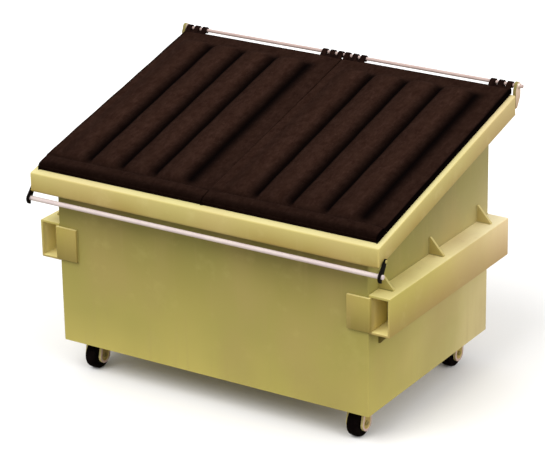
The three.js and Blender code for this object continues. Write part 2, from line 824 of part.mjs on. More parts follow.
// Fork: a crown with the lower race on it, and two recessed legs bored for the axle
function forkGeometry() {
  const crown = block(-legOuter, legOuter, -crownHalfDepth, crownHalfDepth, crownBottom, crownTop);
  const race = uprightRod(raceRadius, crownTop, lowerRaceTop);
  const leg = plateAcrossX(legShape(forkLegRadius, crownTop), legInner, legOuter, plateCurve);
  const recess = plateAcrossX(recessShape(), legOuter - forkRecessDepth, legOuter + cutOverrun, plateCurve);
  const rightLeg = cut(leg, recess);
  const body = joined(crown, race, rightLeg, onSide(rightLeg, -1));
  const bottom = crownBottom - cutOverrun;
  const kingpinBore = uprightRod(kingpinRadius + runningGap, bottom, lowerRaceTop + cutOverrun);
  const axleBore = rodAlongX(axleRadius + weldGap, -legOuter - cutOverrun, legOuter + cutOverrun);
  return cut(body, kingpinBore, axleBore.translate(0, -casterTrail, axleHeight));
}

// Axle: a bolt with a head at each end, seated in the legs' recesses
function axleGeometry() {
  const seat = legOuter - forkRecessDepth + weldGap;
  const end = seat + axleHeadLength;
  return turnedAlongX([
    [-end, 0],
    [-end, axleHeadRadius],
    [-seat, axleHeadRadius],
    [-seat, axleRadius],
    [seat, axleRadius],
    [seat, axleHeadRadius],
    [end, axleHeadRadius],
    [end, 0],
  ]);
}

// Hub: a dished wheel centre with a long boss on the axle
function hubGeometry() {
  const bore = axleRadius + runningGap;
  const rim = wheelRadius - tyreDepth - weldGap;
  const halfHub = tyreWidth / 2 - hubDish;
  const halfBoss = legInner - hubBossGap;
  return turnedAlongX([
    [-halfBoss, bore],
    [-halfBoss, hubBoss],
    [-halfHub, rim],
    [halfHub, rim],
    [halfBoss, hubBoss],
    [halfBoss, bore],
    [-halfBoss, bore],
  ], wheelFacets);
}

// Tyre: a ring with rounded shoulders, whose facets are as far from the axle as the wheel's radius
function tyreGeometry() {
  const outer = wheelRadius / Math.cos(Math.PI / wheelFacets);
  const inner = wheelRadius - tyreDepth;
  const half = tyreWidth / 2;
  const shoulder = tyreShoulder;
  return turnedAlongX([
    [-half, inner],
    [-half, outer - shoulder],
    [-half + shoulder, outer],
    [half - shoulder, outer],
    [half, outer - shoulder],
    [half, inner],
    [-half, inner],
  ], wheelFacets);
}

// One caster, on a group at its swivel axis
function addCaster(group, label, x, y) {
  const caster = new THREE.Group();
  caster.position.set(x, y, 0);
  group.add(caster);
  addPiece(caster, `${label}_caster_plate`, topPlateGeometry(), 'zinc');
  addPiece(caster, `${label}_caster_kingpin`, kingpinGeometry(), 'zinc');
  addPiece(caster, `${label}_caster_fork`, forkGeometry(), 'trim');
  const wheel = new THREE.Group();
  wheel.position.set(0, -casterTrail, axleHeight);
  caster.add(wheel);
  addPiece(wheel, `${label}_caster_axle`, axleGeometry(), 'zinc');
  addPiece(wheel, `${label}_caster_hub`, hubGeometry(), 'hub');
  addPiece(wheel, `${label}_caster_tyre`, tyreGeometry(), 'rubber');
}

addTub(container);
addRim(container);
addSideFittings(container, -1, 'left');
addSideFittings(container, 1, 'right');
addHinge(container);
addLids(container);
addFrontBar(container);
for (const [endLabel, y] of [['front', casterEndInset], ['rear', bodyDepth - casterEndInset]]) {
  for (const [sideLabel, side] of [['left', -1], ['right', 1]]) {
    addCaster(container, `${endLabel}_${sideLabel}`, side * (halfWidth - casterSideInset), y);
  }
}

// The origin is on the ground, midway between the foremost and rearmost points
const frontReach = barReach + armHookRadius;
const rearReach = rodY + earRadius;
container.position.y = (frontReach - rearReach) / 2;

const model = new THREE.Group();
model.add(container);

export default model;
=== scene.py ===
# %% [markdown]
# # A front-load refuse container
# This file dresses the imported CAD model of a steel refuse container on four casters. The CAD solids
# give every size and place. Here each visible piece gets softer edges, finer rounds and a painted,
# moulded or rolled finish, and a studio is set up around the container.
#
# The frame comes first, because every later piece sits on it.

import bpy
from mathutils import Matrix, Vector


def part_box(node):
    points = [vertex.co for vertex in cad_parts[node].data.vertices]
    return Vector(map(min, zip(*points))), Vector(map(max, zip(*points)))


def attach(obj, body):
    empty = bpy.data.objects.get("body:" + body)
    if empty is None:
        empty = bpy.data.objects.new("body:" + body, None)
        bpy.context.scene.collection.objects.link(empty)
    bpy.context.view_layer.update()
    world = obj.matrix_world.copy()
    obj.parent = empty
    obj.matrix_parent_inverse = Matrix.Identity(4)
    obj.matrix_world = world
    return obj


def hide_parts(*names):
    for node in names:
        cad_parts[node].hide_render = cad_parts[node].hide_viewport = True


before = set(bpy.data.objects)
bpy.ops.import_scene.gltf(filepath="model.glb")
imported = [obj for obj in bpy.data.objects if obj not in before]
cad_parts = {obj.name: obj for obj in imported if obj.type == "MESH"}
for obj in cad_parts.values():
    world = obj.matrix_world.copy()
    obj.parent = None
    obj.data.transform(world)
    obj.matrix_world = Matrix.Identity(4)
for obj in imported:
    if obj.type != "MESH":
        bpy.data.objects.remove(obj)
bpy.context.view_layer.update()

# %% [markdown]
# ## Modules
# Angles need the maths module, and matrices and vectors place things in space. Loading them
# together here shows at a glance that nothing else is used.

# %% Modules for the rest of the script
import math

import bpy
from mathutils import Matrix, Vector

# %% [markdown]
# ## Camera
# The camera stands where the photograph was taken from: a long lens from the front right, looking
# down a little. Its place was solved from the container's own edges, so it is written as an
# azimuth, a height angle, a small roll and a distance. A long lens keeps far edges nearly parallel.
# The other way, moving a camera about by eye, never lines up all the corners.

# %% Camera at the photograph's viewpoint
AZIMUTH = math.radians(32.6543)
ELEVATION = math.radians(21.9355)
ROLL = math.radians(-0.9896)
DISTANCE = 13.14456
TARGET = Vector((-0.0042, -0.0185, 0.7638))
FOCAL_PIXELS = 2566.12
IMAGE_WIDTH = 545
SENSOR_WIDTH = 36.0
CLIP_END = 200


def direction(azimuth, height):
    """A unit vector at an azimuth, from the front towards the right, and at a height angle."""
    level = math.cos(height)
    return Vector((math.sin(azimuth) * level, -math.cos(azimuth) * level, math.sin(height)))


def camera_matrix():
    back = direction(AZIMUTH, ELEVATION)
    right = Vector((math.cos(AZIMUTH), math.sin(AZIMUTH), 0))
    up = back.cross(right)
    x_axis = right * math.cos(ROLL) + up * math.sin(ROLL)
    y_axis = up * math.cos(ROLL) - right * math.sin(ROLL)
    turned = Matrix((x_axis, y_axis, back)).transposed().to_4x4()
    return Matrix.Translation(TARGET + back * DISTANCE) @ turned


def add_camera():
    lens = bpy.data.cameras.new("photo_camera")
    lens.sensor_width = SENSOR_WIDTH
    lens.lens = FOCAL_PIXELS / IMAGE_WIDTH * SENSOR_WIDTH
    lens.clip_end = CLIP_END
    camera = bpy.data.objects.new("photo_camera", lens)
    camera.matrix_world = camera_matrix()
    bpy.context.scene.collection.objects.link(camera)
    bpy.context.scene.camera = camera
    return camera


camera = add_camera()
print("Lens:", round(camera.data.lens, 2), "mm")


# %% [markdown]
# ## Shader sums
# A finish is easier to read as a sum than as a drawing of boxes and wires. This small class wraps
# the output of a node. Adding, taking away or multiplying wrapped outputs, raising one to a power,
# dropping its sign or taking the larger of two adds a Math node. The reflected forms let a plain
# number stand first, as in 1 - mask.

# %% Wires that can be added and multiplied
class Wire:
    """One output socket of a node tree."""

    def __init__(self, tree, socket):
        self.tree = tree
        self.socket = socket

    def maths(self, operation, *values):
        inputs = dict(enumerate(values))
        return add_node(self.tree, "ShaderNodeMath", {"operation": operation}, inputs)

    def __add__(self, other):
        return self.maths("ADD", self, other)

    def __radd__(self, other):
        return self.maths("ADD", other, self)

    def __sub__(self, other):
        return self.maths("SUBTRACT", self, other)

    def __rsub__(self, other):
        return self.maths("SUBTRACT", other, self)

    def __mul__(self, other):
        return self.maths("MULTIPLY", self, other)

    def __rmul__(self, other):
        return self.maths("MULTIPLY", other, self)

    def __pow__(self, other):
        return self.maths("POWER", self, other)

    def __abs__(self):
        return self.maths("ABSOLUTE", self)

    def larger(self, other):
        return self.maths("MAXIMUM", self, other)


# %% [markdown]
# ## Any other node
# One function makes every node. It takes the node's type, its settings and what its sockets get.
# The settings are made first, because some of them decide which sockets a node has. A wire is
# linked to its socket, and a plain value is written on it.

# %% One function for every node
def set_stops(ramp, stops):
    """A ramp from one grey to another, each given as its place and its level."""
    for element, (position, level) in zip(ramp.elements, stops):
        element.position = position
        element.color = (level, level, level, 1)


def add_node(tree, kind, settings, inputs, output=0):
    node = tree.nodes.new(kind)
    for name, value in settings.items():
        if name == "stops":
            set_stops(node.color_ramp, value)
        else:
            setattr(node, name, value)
    for name, value in inputs.items():
        if isinstance(value, Wire):
            tree.links.new(value.socket, node.inputs[name])
        else:
            node.inputs[name].default_value = value
    return Wire(tree, node.outputs[output])


# %% [markdown]
# ## Colours
# A colour is picked and compared on a screen, so it is written here as a screen colour. Shaders
# count in linear light, so each channel is turned back along the screen's curve. A Mix node has a
# pair of sockets for every kind of value, and three numbers below say which are its colour sockets.

# %% Colours and the mixing of two
FULL_BYTE = 255
SCREEN_KNEE = 0.04045
SCREEN_SLOPE = 12.92
SCREEN_OFFSET = 0.055
SCREEN_POWER = 2.4
MIX_A = 6
MIX_B = 7
MIX_RESULT = 2


def linear(level):
    if level <= SCREEN_KNEE:
        return level / SCREEN_SLOPE
    return ((level + SCREEN_OFFSET) / (1 + SCREEN_OFFSET)) ** SCREEN_POWER


def colour(code):
    """A screen colour such as "b8ab66" as the linear colour that shaders use."""
    return (*(linear(byte / FULL_BYTE) for byte in bytes.fromhex(code)), 1.0)


def mixed(tree, share, first, second):
    """Two tints, each a wire or a screen colour, mixed by a share from 0 to 1."""
    first, second = (colour(tint) if isinstance(tint, str) else tint for tint in (first, second))
    inputs = {0: share, MIX_A: first, MIX_B: second}
    return add_node(tree, "ShaderNodeMix", {"data_type": "RGBA"}, inputs, MIX_RESULT)


print("Straw yellow as linear light:", [round(level, 3) for level in colour("d0c26b")])


# %% [markdown]
# ## Places and patterns
# Every finish is mixed from places on the piece, noise, patches and ranges. Each gets one short
# function, so that a finish below reads as a recipe. Places are read as Object coordinates. They
# stay with a piece when it moves, so a scuff rides along with a lid that opens.

# %% Places, noise, patches and ranges
def place(tree):
    return add_node(tree, "ShaderNodeTexCoord", {}, {}, "Object")


def axis_of(tree, vector, axis):
    return add_node(tree, "ShaderNodeSeparateXYZ", {}, {"Vector": vector}, axis)


def placed(tree, axis):
    """How far along one axis a point of the piece lies, in metres."""
    return axis_of(tree, place(tree), axis)


def stretched(tree, scale):
    """Object coordinates, multiplied along x, y and z."""
    return add_node(tree, "ShaderNodeMapping", {}, {"Vector": place(tree), "Scale": scale})


def noise(tree, vector, scale, detail, roughness):
    inputs = {"Vector": vector, "Scale": scale, "Detail": detail, "Roughness": roughness}
    return add_node(tree, "ShaderNodeTexNoise", {}, inputs)


def ranged(tree, value, low, high):
    """0 below low, 1 above high, and straight between them."""
    inputs = {"Value": value, "From Min": low, "From Max": high}
    return add_node(tree, "ShaderNodeMapRange", {"clamp": True}, inputs)


def patched(tree, tint, tone, pattern, start, full, most):
    """Lays a tone over a tint: none where a pattern is below start, most where it is above full."""
    stops = ((start, 0.0), (full, most))
    share = add_node(tree, "ShaderNodeValToRGB", {"stops": stops}, {"Fac": pattern})
    return mixed(tree, share, tint, tone)


# %% [markdown]
# ## Starting and filling in a material
# A new material comes with a Principled shader. What is the same all over the surface, such as its
# gloss, is set on the shader's own sockets, and what varies is wired in. Keeping those two apart
# matters when the model is exported, because only a few kinds of wired input, such as colour,
# roughness and bumps, are baked.

# %% A material with the inputs that each finish fills in
SHADER = "Principled BSDF"


def new_finish(name, gloss, metal=0.0, roughness=0.5):
    material = bpy.data.materials.new(name)
    material.use_nodes = True
    sockets = material.node_tree.nodes[SHADER].inputs
    sockets["Specular IOR Level"].default_value = gloss
    sockets["Metallic"].default_value = metal
    sockets["Roughness"].default_value = roughness
    return material, material.node_tree


def feed(material, wires):
    shader = material.node_tree.nodes[SHADER]
    for socket, wire in wires.items():
        material.node_tree.links.new(wire.socket, shader.inputs[socket])
    return material


def bumped(tree, height, distance, strength):
    inputs = {"Height": height, "Distance": distance, "Strength": strength}
    return add_node(tree, "ShaderNodeBump", {}, inputs)


# %% [markdown]
# ## Sizes from the CAD model
# The container's front wall lies on one plane and its rim slopes evenly up to the rear. Most places
# below are worked out from the boxes of the CAD nodes and from that slope, so that pieces land on
# the solids.

# %% Planes of the tub and the slope of the rim
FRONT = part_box("front_wall")[0].y
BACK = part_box("rear_wall")[1].y
HALF_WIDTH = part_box("right_wall")[1].x
WALL = 0.0035
WALL_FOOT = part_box("front_wall")[0].z
RIM_FRONT_HEIGHT = 1.106
RIM_RISE = 0.348
RIM_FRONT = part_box("front_rim_rail")[0].y
RIM_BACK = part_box("rear_rim_rail")[1].y
RIM_HALF_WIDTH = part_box("right_rim_rail")[1].x
RIM_SLOPE = RIM_RISE / (RIM_BACK - RIM_FRONT)


def rim_top(y):
    return RIM_FRONT_HEIGHT + RIM_SLOPE * (y - RIM_FRONT)


def node_centre(node):
    low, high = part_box(node)
    return (low + high) / 2


print("Tub:", round(2 * HALF_WIDTH, 4), "by", round(BACK - FRONT, 4), "m")
print("Rim slope:", round(RIM_SLOPE, 4))

# %% [markdown]
# ## Enamel
# The steel is sprayed with a khaki yellow enamel that has been outdoors. It isn't one colour: it
# drifts softly towards green in some places and towards a pinkish brown in others. Painted light
# makes it paler low down and on every top that faces up, and painted shade darkens it under the rim.
# A photograph wrapped round the tub would show the same in one view, but it would smear on the other
# sides. So all of it is worked out from places, from the way a face looks, and from noise.

# %% Masks that the enamels share
LEVEL_FROM, LEVEL_TO = 0.55, 0.95
SIDEWAYS_FROM, SIDEWAYS_TO = 0.5, 0.85


def facing(tree, axis):
    """How far a face looks along one axis, from -1 to 1."""
    return axis_of(tree, add_node(tree, "ShaderNodeTexCoord", {}, {}, "Normal"), axis)


def facing_up(tree):
    """1 on level tops, which get painted light: a paler tint where light from above falls."""
    return ranged(tree, facing(tree, "Z"), LEVEL_FROM, LEVEL_TO)


def facing_sideways(tree):
    """1 on faces that look to the left or the right."""
    return ranged(tree, abs(facing(tree, "X")), SIDEWAYS_FROM, SIDEWAYS_TO)


def low_on_the_tub(tree):
    """1 at the tub's foot and 0 under the rim."""
    return 1 - ranged(tree, placed(tree, "Z"), WALL_FOOT, RIM_FRONT_HEIGHT)


def towards_the_rear(tree, power):
    """0 at the front and 1 at the rear, and the higher the power, the later it rises."""
    return ranged(tree, placed(tree, "Y"), FRONT, BACK) ** power


# %% [markdown]
# ## Where the pockets get painted light, and where the rim's skirt is
# A truck's forks slide in between the tub and the outer side of a pocket. That space is a tunnel in
# shade, and painted light makes every face round it pale. So a mask is made for the space itself, a
# hair smaller than the pocket. The rim needs a mask that follows its slope, so it is measured down
# from the sloping top, and not up from the ground.

# %% Masks for the pockets and the rim
POCKET_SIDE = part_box("right_fork_pocket")[1].x
POCKET_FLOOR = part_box("right_fork_pocket")[0].z
POCKET_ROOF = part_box("right_fork_pocket")[1].z
MASK_SOFT_EDGE = 0.0015
POCKET_LIGHT_LEAD = 0.005
POCKET_LIGHT_FULL = 0.03
SKIRT_TOP = 0.012
SKIRT_TOE = 0.102


def banded(tree, value, low, high):
    """1 between low and high, with a narrow soft edge inside each."""
    risen = ranged(tree, value, low, low + MASK_SOFT_EDGE)
    return risen * (1 - ranged(tree, value, high - MASK_SOFT_EDGE, high))


def pocket_light_mask(tree):
    """1 on the faces round the space the forks slide through, which get painted light."""
    from_middle = abs(placed(tree, "X"))
    across = banded(tree, from_middle, HALF_WIDTH - MASK_SOFT_EDGE, POCKET_SIDE - MASK_SOFT_EDGE)
    upwards = banded(tree, placed(tree, "Z"), POCKET_FLOOR + MASK_SOFT_EDGE, POCKET_ROOF - MASK_SOFT_EDGE)
    inwards = ranged(tree, placed(tree, "Y"), FRONT - POCKET_LIGHT_LEAD, FRONT + POCKET_LIGHT_FULL)
    return across * upwards * inwards


def up_the_pocket(tree):
    return ranged(tree, placed(tree, "Z"), POCKET_FLOOR, POCKET_ROOF)


def below_rim_top(tree):
    """0 at the rim's sloping top and 1 at the toe of its skirt."""
    level = placed(tree, "Z") - placed(tree, "Y") * RIM_SLOPE
    top = RIM_FRONT_HEIGHT - RIM_SLOPE * RIM_FRONT
    return ranged(tree, top - level, SKIRT_TOP, SKIRT_TOE)


print("Pocket height:", round(POCKET_ROOF - POCKET_FLOOR, 4), "m")


# %% [markdown]
# ## Weather and a sprayed skin
# All the steelwork was sprayed with the same enamel, but its pieces have aged differently. One
# function does the ageing that they share: drifts of two tones, pale patches and faint runs from
# above. Another starts the material, takes each piece's own tint from a rule, and adds the skin.
# The spray leaves a fine orange peel, and sheet steel is never quite flat, so the bump has a grain
# and slow waves.

# %% Ageing and skin of every enamel
ENAMEL_GLOSS = 0.22
TUB_DRIFTS = ("b39a66", "9d9850", "c5b872")
RIM_DRIFTS = ("ccb77e", "c8c279", "e4d99c")
PLATE_DRIFTS = ("bf9f74", "ada85f", "d3c586")


def weathered(tree, tint, drifts, amount):
    """Drifts are the tones of the pinkish brown, the green and the pale patches."""
    blush, green, pale = drifts
    spot = place(tree)
    tall = stretched(tree, (1.7, 1.7, 1.0))
    running_down = stretched(tree, (26.0, 26.0, 1.6))
    drift = noise(tree, spot, scale=1.9, detail=2.0, roughness=0.45)
    second_drift = noise(tree, tall, scale=1.3, detail=2.0, roughness=0.5)
    patches = noise(tree, spot, scale=9.0, detail=4.0, roughness=0.6)
    runs = noise(tree, running_down, scale=1.0, detail=3.0, roughness=0.6)
    tint = patched(tree, tint, green, drift, start=0.40, full=0.70, most=amount)
    tint = patched(tree, tint, blush, second_drift, start=0.50, full=0.74, most=amount)
    tint = patched(tree, tint, blush, runs, start=0.56, full=0.76, most=0.16)
    return patched(tree, tint, pale, patches, start=0.56, full=0.80, most=0.22)


def enamelled(name, tint_rule, *tones, drifts, amount):
    """A finish whose tint comes from a rule, with the ageing and skin that all enamels share."""
    material, tree = new_finish(name, ENAMEL_GLOSS)
    tint = weathered(tree, tint_rule(tree, *tones), drifts, amount)
    spot = place(tree)
    waves = noise(tree, spot, scale=3.2, detail=1.0, roughness=0.4)
    grain = noise(tree, spot, scale=260.0, detail=2.0, roughness=0.7)
    cloud = noise(tree, spot, scale=12.0, detail=3.0, roughness=0.6)
    skin = bumped(tree, waves + grain * 0.02, distance=0.004, strength=0.3)
    return feed(material, {"Base Color": tint, "Roughness": 0.42 + cloud * 0.25, "Normal": skin})


# %% [markdown]
# ## Tints of the tub and the rim
# The tub is olive under the rim, with painted shade, and straw yellow at its foot, with painted
# light. Painted light also pales it towards the rear, most of all low down. The rim has painted light
# where it faces up and painted shade towards the toe of its skirt, and it is pinkish at the rear. One
# tint with more noise would miss all of that, because these changes follow the form.

# %% Tints of the large sheets
FOOT_POWER = 1.4
REAR_LIGHT_HIGH = 0.25
REAR_LIGHT_LOW = 0.6
RIM_BLUSH = 0.45


def tub_tint(tree):
    low = low_on_the_tub(tree)
    # Painted shade makes it olive under the rim, and painted light makes it straw yellow at the foot.
    tint = mixed(tree, low**FOOT_POWER, "7a723a", "d0c26b")
    # Painted light pales the tub towards the rear, most of all low down.
    rear_light = towards_the_rear(tree, power=1.5) * (REAR_LIGHT_HIGH + low * REAR_LIGHT_LOW)
    tint = mixed(tree, rear_light, tint, "ead8a8")
    # Painted light inside the pockets.
    return mixed(tree, pocket_light_mask(tree), tint, "f2e4a4")


def rim_tint(tree):
    # Painted shade darkens the skirt towards its toe, and painted light pales the faces that look up.
    tint = mixed(tree, below_rim_top(tree), "c6b670", "a48a45")
    tint = mixed(tree, facing_up(tree), tint, "dace94")
    return mixed(tree, towards_the_rear(tree, power=2.0) * RIM_BLUSH, tint, "d2b292")


# %% [markdown]
# ## Tints of the pockets and guide plates
# A fork pocket is brown near its floor and yellow near its roof, and painted light turns it pale and
# pinkish towards the rear and on its top. The guide plates at the front are brown too, darker low
# down with painted shade and with a painted highlight on their tops, and where they bend back into
# the pocket's mouth painted light makes them pale, in long streaks. Noise that is stretched from
# front to rear makes the streaks.

# %% Tints of the pieces that the forks touch
GUIDE_FULL = 0.04


def pocket_tint(tree):
    high = up_the_pocket(tree)
    near_side = mixed(tree, high, "aa9152", "bcae5a")
    # Painted light: paler and pinkish towards the rear.
    far_side = mixed(tree, high, "cfae7e", "f0d8aa")
    tint = mixed(tree, towards_the_rear(tree, power=2.2), near_side, far_side)
    # Painted light on the pocket's top, paler still towards the rear.
    top = mixed(tree, towards_the_rear(tree, power=1.5), "f4e69c", "fff2c8")
    tint = mixed(tree, facing_up(tree), tint, top)
    # Painted light inside the pocket.
    return mixed(tree, pocket_light_mask(tree), tint, "f2e29a")


def guide_tint(tree):
    # Painted light in the pocket's mouth, where the bent plate would be in shade, varied in streaks.
    inside = ranged(tree, placed(tree, "Y"), FRONT - POCKET_LIGHT_LEAD, FRONT + GUIDE_FULL)
    streaks = noise(tree, stretched(tree, (30.0, 6.0, 70.0)), scale=1.0, detail=3.0, roughness=0.6)
    # Painted shade low down.
    outside = mixed(tree, up_the_pocket(tree), "857034", "b7a456")
    # Painted highlight on the tops.
    outside = mixed(tree, facing_up(tree), outside, "f4e6a0")
    streaked_tone = mixed(tree, streaks, "f0d6a2", "dcc08c")
    # Painted light inside the pocket.
    streaked_tone = mixed(tree, pocket_light_mask(tree), streaked_tone, "eedb98")
    return mixed(tree, inside, outside, streaked_tone)


# %% [markdown]
# ## Tints of the plain plates and the hinge ears
# Gussets and lugs are plain plates with painted light on their tops, and under a pocket's floor
# painted shade makes them dark. Two finishes share their rule with different tones. The hinge ears
# stand up in the light: painted light makes their broad sides a pinkish white, while painted shade
# keeps their narrow edges and lower parts olive.

# %% Tints of plates and ears, and the seven enamels
SHADE_DEPTH = 0.012
GUSSET_TONES = ("bfb06a", "cbb981", "e2d492")
LUG_TONES = ("b0a05d", "c4ab78", "cdbd7c")


def plate_tint(tree, side_tone, rear_tone, top_tone):
    # Painted shade under a pocket's floor.
    painted_shade = 1 - ranged(tree, placed(tree, "Z"), POCKET_FLOOR - SHADE_DEPTH, POCKET_FLOOR)
    tint = mixed(tree, towards_the_rear(tree, power=2.3), side_tone, rear_tone)
    # Painted light on the tops.
    tint = mixed(tree, facing_up(tree), tint, top_tone)
    return mixed(tree, painted_shade, tint, "5f4d26")


def ear_tint(tree):
    ear_low, ear_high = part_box("right_hinge_ear")
    # Painted shade low down and on the narrow edges, painted light on the broad sides.
    high = ranged(tree, placed(tree, "Z"), ear_low.z, ear_high.z)
    edge = mixed(tree, high, "6d5329", "827843")
    side = mixed(tree, high, "bfa084", "efd6c6")
    return mixed(tree, facing_sideways(tree), edge, side)


tub_enamel = enamelled("tub_enamel", tub_tint, drifts=TUB_DRIFTS, amount=0.4)
guide_enamel = enamelled("guide_enamel", guide_tint, drifts=PLATE_DRIFTS, amount=0.3)
rim_enamel = enamelled("rim_enamel", rim_tint, drifts=RIM_DRIFTS, amount=0.35)
pocket_enamel = enamelled("pocket_enamel", pocket_tint, drifts=PLATE_DRIFTS, amount=0.3)
plate_ageing = {"drifts": PLATE_DRIFTS, "amount": 0.35}
gusset_enamel = enamelled("gusset_enamel", plate_tint, *GUSSET_TONES, **plate_ageing)
plate_enamel = enamelled("plate_enamel", plate_tint, *LUG_TONES, **plate_ageing)
ear_enamel = enamelled("ear_enamel", ear_tint, drifts=PLATE_DRIFTS, amount=0.15)
print("Nodes in the tub's enamel:", len(tub_enamel.node_tree.nodes))

# %% [markdown]
# ## Pale bars
# The hinge rod and the front bar are a pinkish white that is a little chalky, with long wear marks
# where lids and trucks have rubbed them. The marks are noise that is squeezed round the bar and
# stretched along it. A plain white would clip in the light, and look like plastic.

# %% Finishes for the rod and the bar
CHALK_GLOSS = 0.3


def chalky_white(name, tone, shade, streaked_tone):
    material, tree = new_finish(name, CHALK_GLOSS)
    marks = noise(tree, stretched(tree, (5.0, 60.0, 60.0)), scale=1.0, detail=4.0, roughness=0.65)
    clouds = noise(tree, place(tree), scale=14.0, detail=3.0, roughness=0.55)
    tint = patched(tree, tone, shade, clouds, start=0.35, full=0.75, most=0.7)
    tint = patched(tree, tint, streaked_tone, marks, start=0.60, full=0.72, most=0.55)
    skin = bumped(tree, marks + clouds * 0.4, distance=0.0006, strength=0.5)
    return feed(material, {"Base Color": tint, "Roughness": 0.35 + clouds * 0.25, "Normal": skin})


bar_white = chalky_white("bar_white", "ddcfca", "cdbabd", "b09a92")
rod_white = chalky_white("rod_white", "c3aca4", "b39a95", "9a837a")
print("Pale finishes:", bar_white.name, rod_white.name)

# %% [markdown]
# ## Black straps and zinc
# The straps that hold the front bar are black, and scuffed to a dark grey. The casters' plates and
# pins are dull zinc, whose crystals show as a faint pattern of cells. A Voronoi pattern has that
# form, and stains over it take away its regularity.

# %% Finishes for straps and zinc
COATING_GLOSS = 0.06
ZINC_GLOSS = 0.5
ZINC_METAL = 0.75
ZINC_CELLS = 90.0


def black_coating(name):
    material, tree = new_finish(name, COATING_GLOSS)
    scuffs = noise(tree, place(tree), scale=45.0, detail=4.0, roughness=0.65)
    tint = patched(tree, "070302", "1f1714", scuffs, start=0.55, full=0.80, most=0.6)
    skin = bumped(tree, scuffs, distance=0.0005, strength=0.4)
    return feed(material, {"Base Color": tint, "Roughness": 0.5 + scuffs * 0.2, "Normal": skin})


def zinc(name, tone, shade):
    material, tree = new_finish(name, ZINC_GLOSS, ZINC_METAL)
    spot = place(tree)
    inputs = {"Vector": spot, "Scale": ZINC_CELLS}
    cells = add_node(tree, "ShaderNodeTexVoronoi", {}, inputs, "Distance")
    stains = noise(tree, spot, scale=24.0, detail=4.0, roughness=0.6)
    tint = patched(tree, tone, shade, stains, start=0.40, full=0.75, most=0.8)
    skin = bumped(tree, cells * 0.5 + stains, distance=0.0004, strength=0.4)
    return feed(material, {"Base Color": tint, "Roughness": 0.42 + stains * 0.25, "Normal": skin})


strap_black = black_coating("strap_black")
bright_zinc = zinc("bright_zinc", "e6dccf", "bdb1a2")
dark_zinc = zinc("dark_zinc", "9a948a", "6e675d")
painted_zinc = zinc("painted_zinc", "a2955f", "7f7443")
print("Strap finish:", strap_black.name)
print("Zinc finishes:", bright_zinc.name, dark_zinc.name, painted_zinc.name)

# %% [markdown]
# ## Caster forks
# A fork is pressed from sheet, with a raised edge round a shallow recess on each leg. It is buff, a
# painted highlight gives the raised edge a pinkish tone, painted shade keeps the recess olive, and
# small chips show a brown primer. How far a face stands from the middle of its caster tells the
# raised edge from the recess.

# %% Finish for the caster forks
CASTER_X = node_centre("front_right_caster_hub").x
LEG_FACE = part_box("front_right_caster_fork")[1].x - CASTER_X
LEG_RECESS = LEG_FACE - 0.0045


def fork_buff(name):
    material, tree = new_finish(name, ENAMEL_GLOSS)
    spot = place(tree)
    from_caster = abs(abs(placed(tree, "X")) - CASTER_X)
    clouds = noise(tree, spot, scale=18.0, detail=3.0, roughness=0.55)
    chips = noise(tree, spot, scale=85.0, detail=4.0, roughness=0.65)
    # Painted shade keeps the recess olive, and a painted highlight makes the raised edge pinkish.
    leg = mixed(tree, ranged(tree, from_caster, LEG_RECESS, LEG_FACE), "a9944f", "cdb2ac")
    tint = mixed(tree, facing_sideways(tree), "d2c483", leg)
    tint = patched(tree, tint, "bda688", clouds, start=0.40, full=0.75, most=0.4)
    tint = patched(tree, tint, "7d7059", chips, start=0.66, full=0.72, most=0.7)
    skin = bumped(tree, clouds + chips * 0.2, distance=0.0008, strength=0.5)
    return feed(material, {"Base Color": tint, "Roughness": 0.45 + clouds * 0.2, "Normal": skin})


fork_finish = fork_buff("fork_buff")
print("Fork legs stand", round(LEG_FACE, 4), "m from the middle of their caster")

# %% [markdown]
# ## Moulded lids
# The lids are moulded in a very dark brown plastic. Years of bags and weather leave it matt, with
# clouds, smears along the ribs and fine scratches across them. Painted shade makes it nearly black in
# the valleys, on the rib flanks away from the light and along the lips, and a number on each vertex,
# made with the lid further down, says how much painted light is left there. On black even a small
# reflection of a white studio turns the surface grey, so the gloss is kept very low.

# %% Finish for the lids
LID_GLOSS = 0.008
LIGHT_ATTRIBUTE = "painted_light"


def lid_plastic(name):
    material, tree = new_finish(name, LID_GLOSS)
    spot = place(tree)
    painted_light = add_node(tree, "ShaderNodeAttribute", {"attribute_name": LIGHT_ATTRIBUTE}, {}, "Fac")
    along_ribs = stretched(tree, (60.0, 16.0, 60.0))
    across_ribs = stretched(tree, (46.0, 150.0, 46.0))
    clouds = noise(tree, spot, scale=22.0, detail=8.0, roughness=0.7)
    smears = noise(tree, along_ribs, scale=1.0, detail=5.0, roughness=0.75)
    scratches = noise(tree, across_ribs, scale=1.0, detail=4.0, roughness=0.75)
    grain = noise(tree, spot, scale=420.0, detail=2.0, roughness=0.6)
    tint = patched(tree, "25150f", "301f18", clouds, start=0.36, full=0.66, most=1.0)
    tint = patched(tree, tint, "3d2a24", smears, start=0.48, full=0.74, most=0.6)
    tint = patched(tree, tint, "4c3830", scratches, start=0.60, full=0.72, most=0.5)
    # Painted shade: nearly black where the vertex number is low.
    tint = mixed(tree, painted_light, "030101", tint)
    skin = bumped(tree, clouds + smears * 0.3 + grain * 0.06, distance=0.003, strength=0.5)
    return feed(material, {"Base Color": tint, "Roughness": 0.7 + smears * 0.2, "Normal": skin})


lid_finish = lid_plastic("lid_plastic")
print("Nodes in the lids' plastic:", len(lid_finish.node_tree.nodes))

# %% [markdown]
# ## Hubs, tyres and knuckles
# Hubs and knuckles are moulded in black plastic, and the tyres in rubber with a bloom of dust. All
# three are the same recipe: a dark tone, a dusty one over it in patches, and a fine grit in the
# bump.

# %% Finishes for black mouldings
MOULDING_GLOSS = 0.03


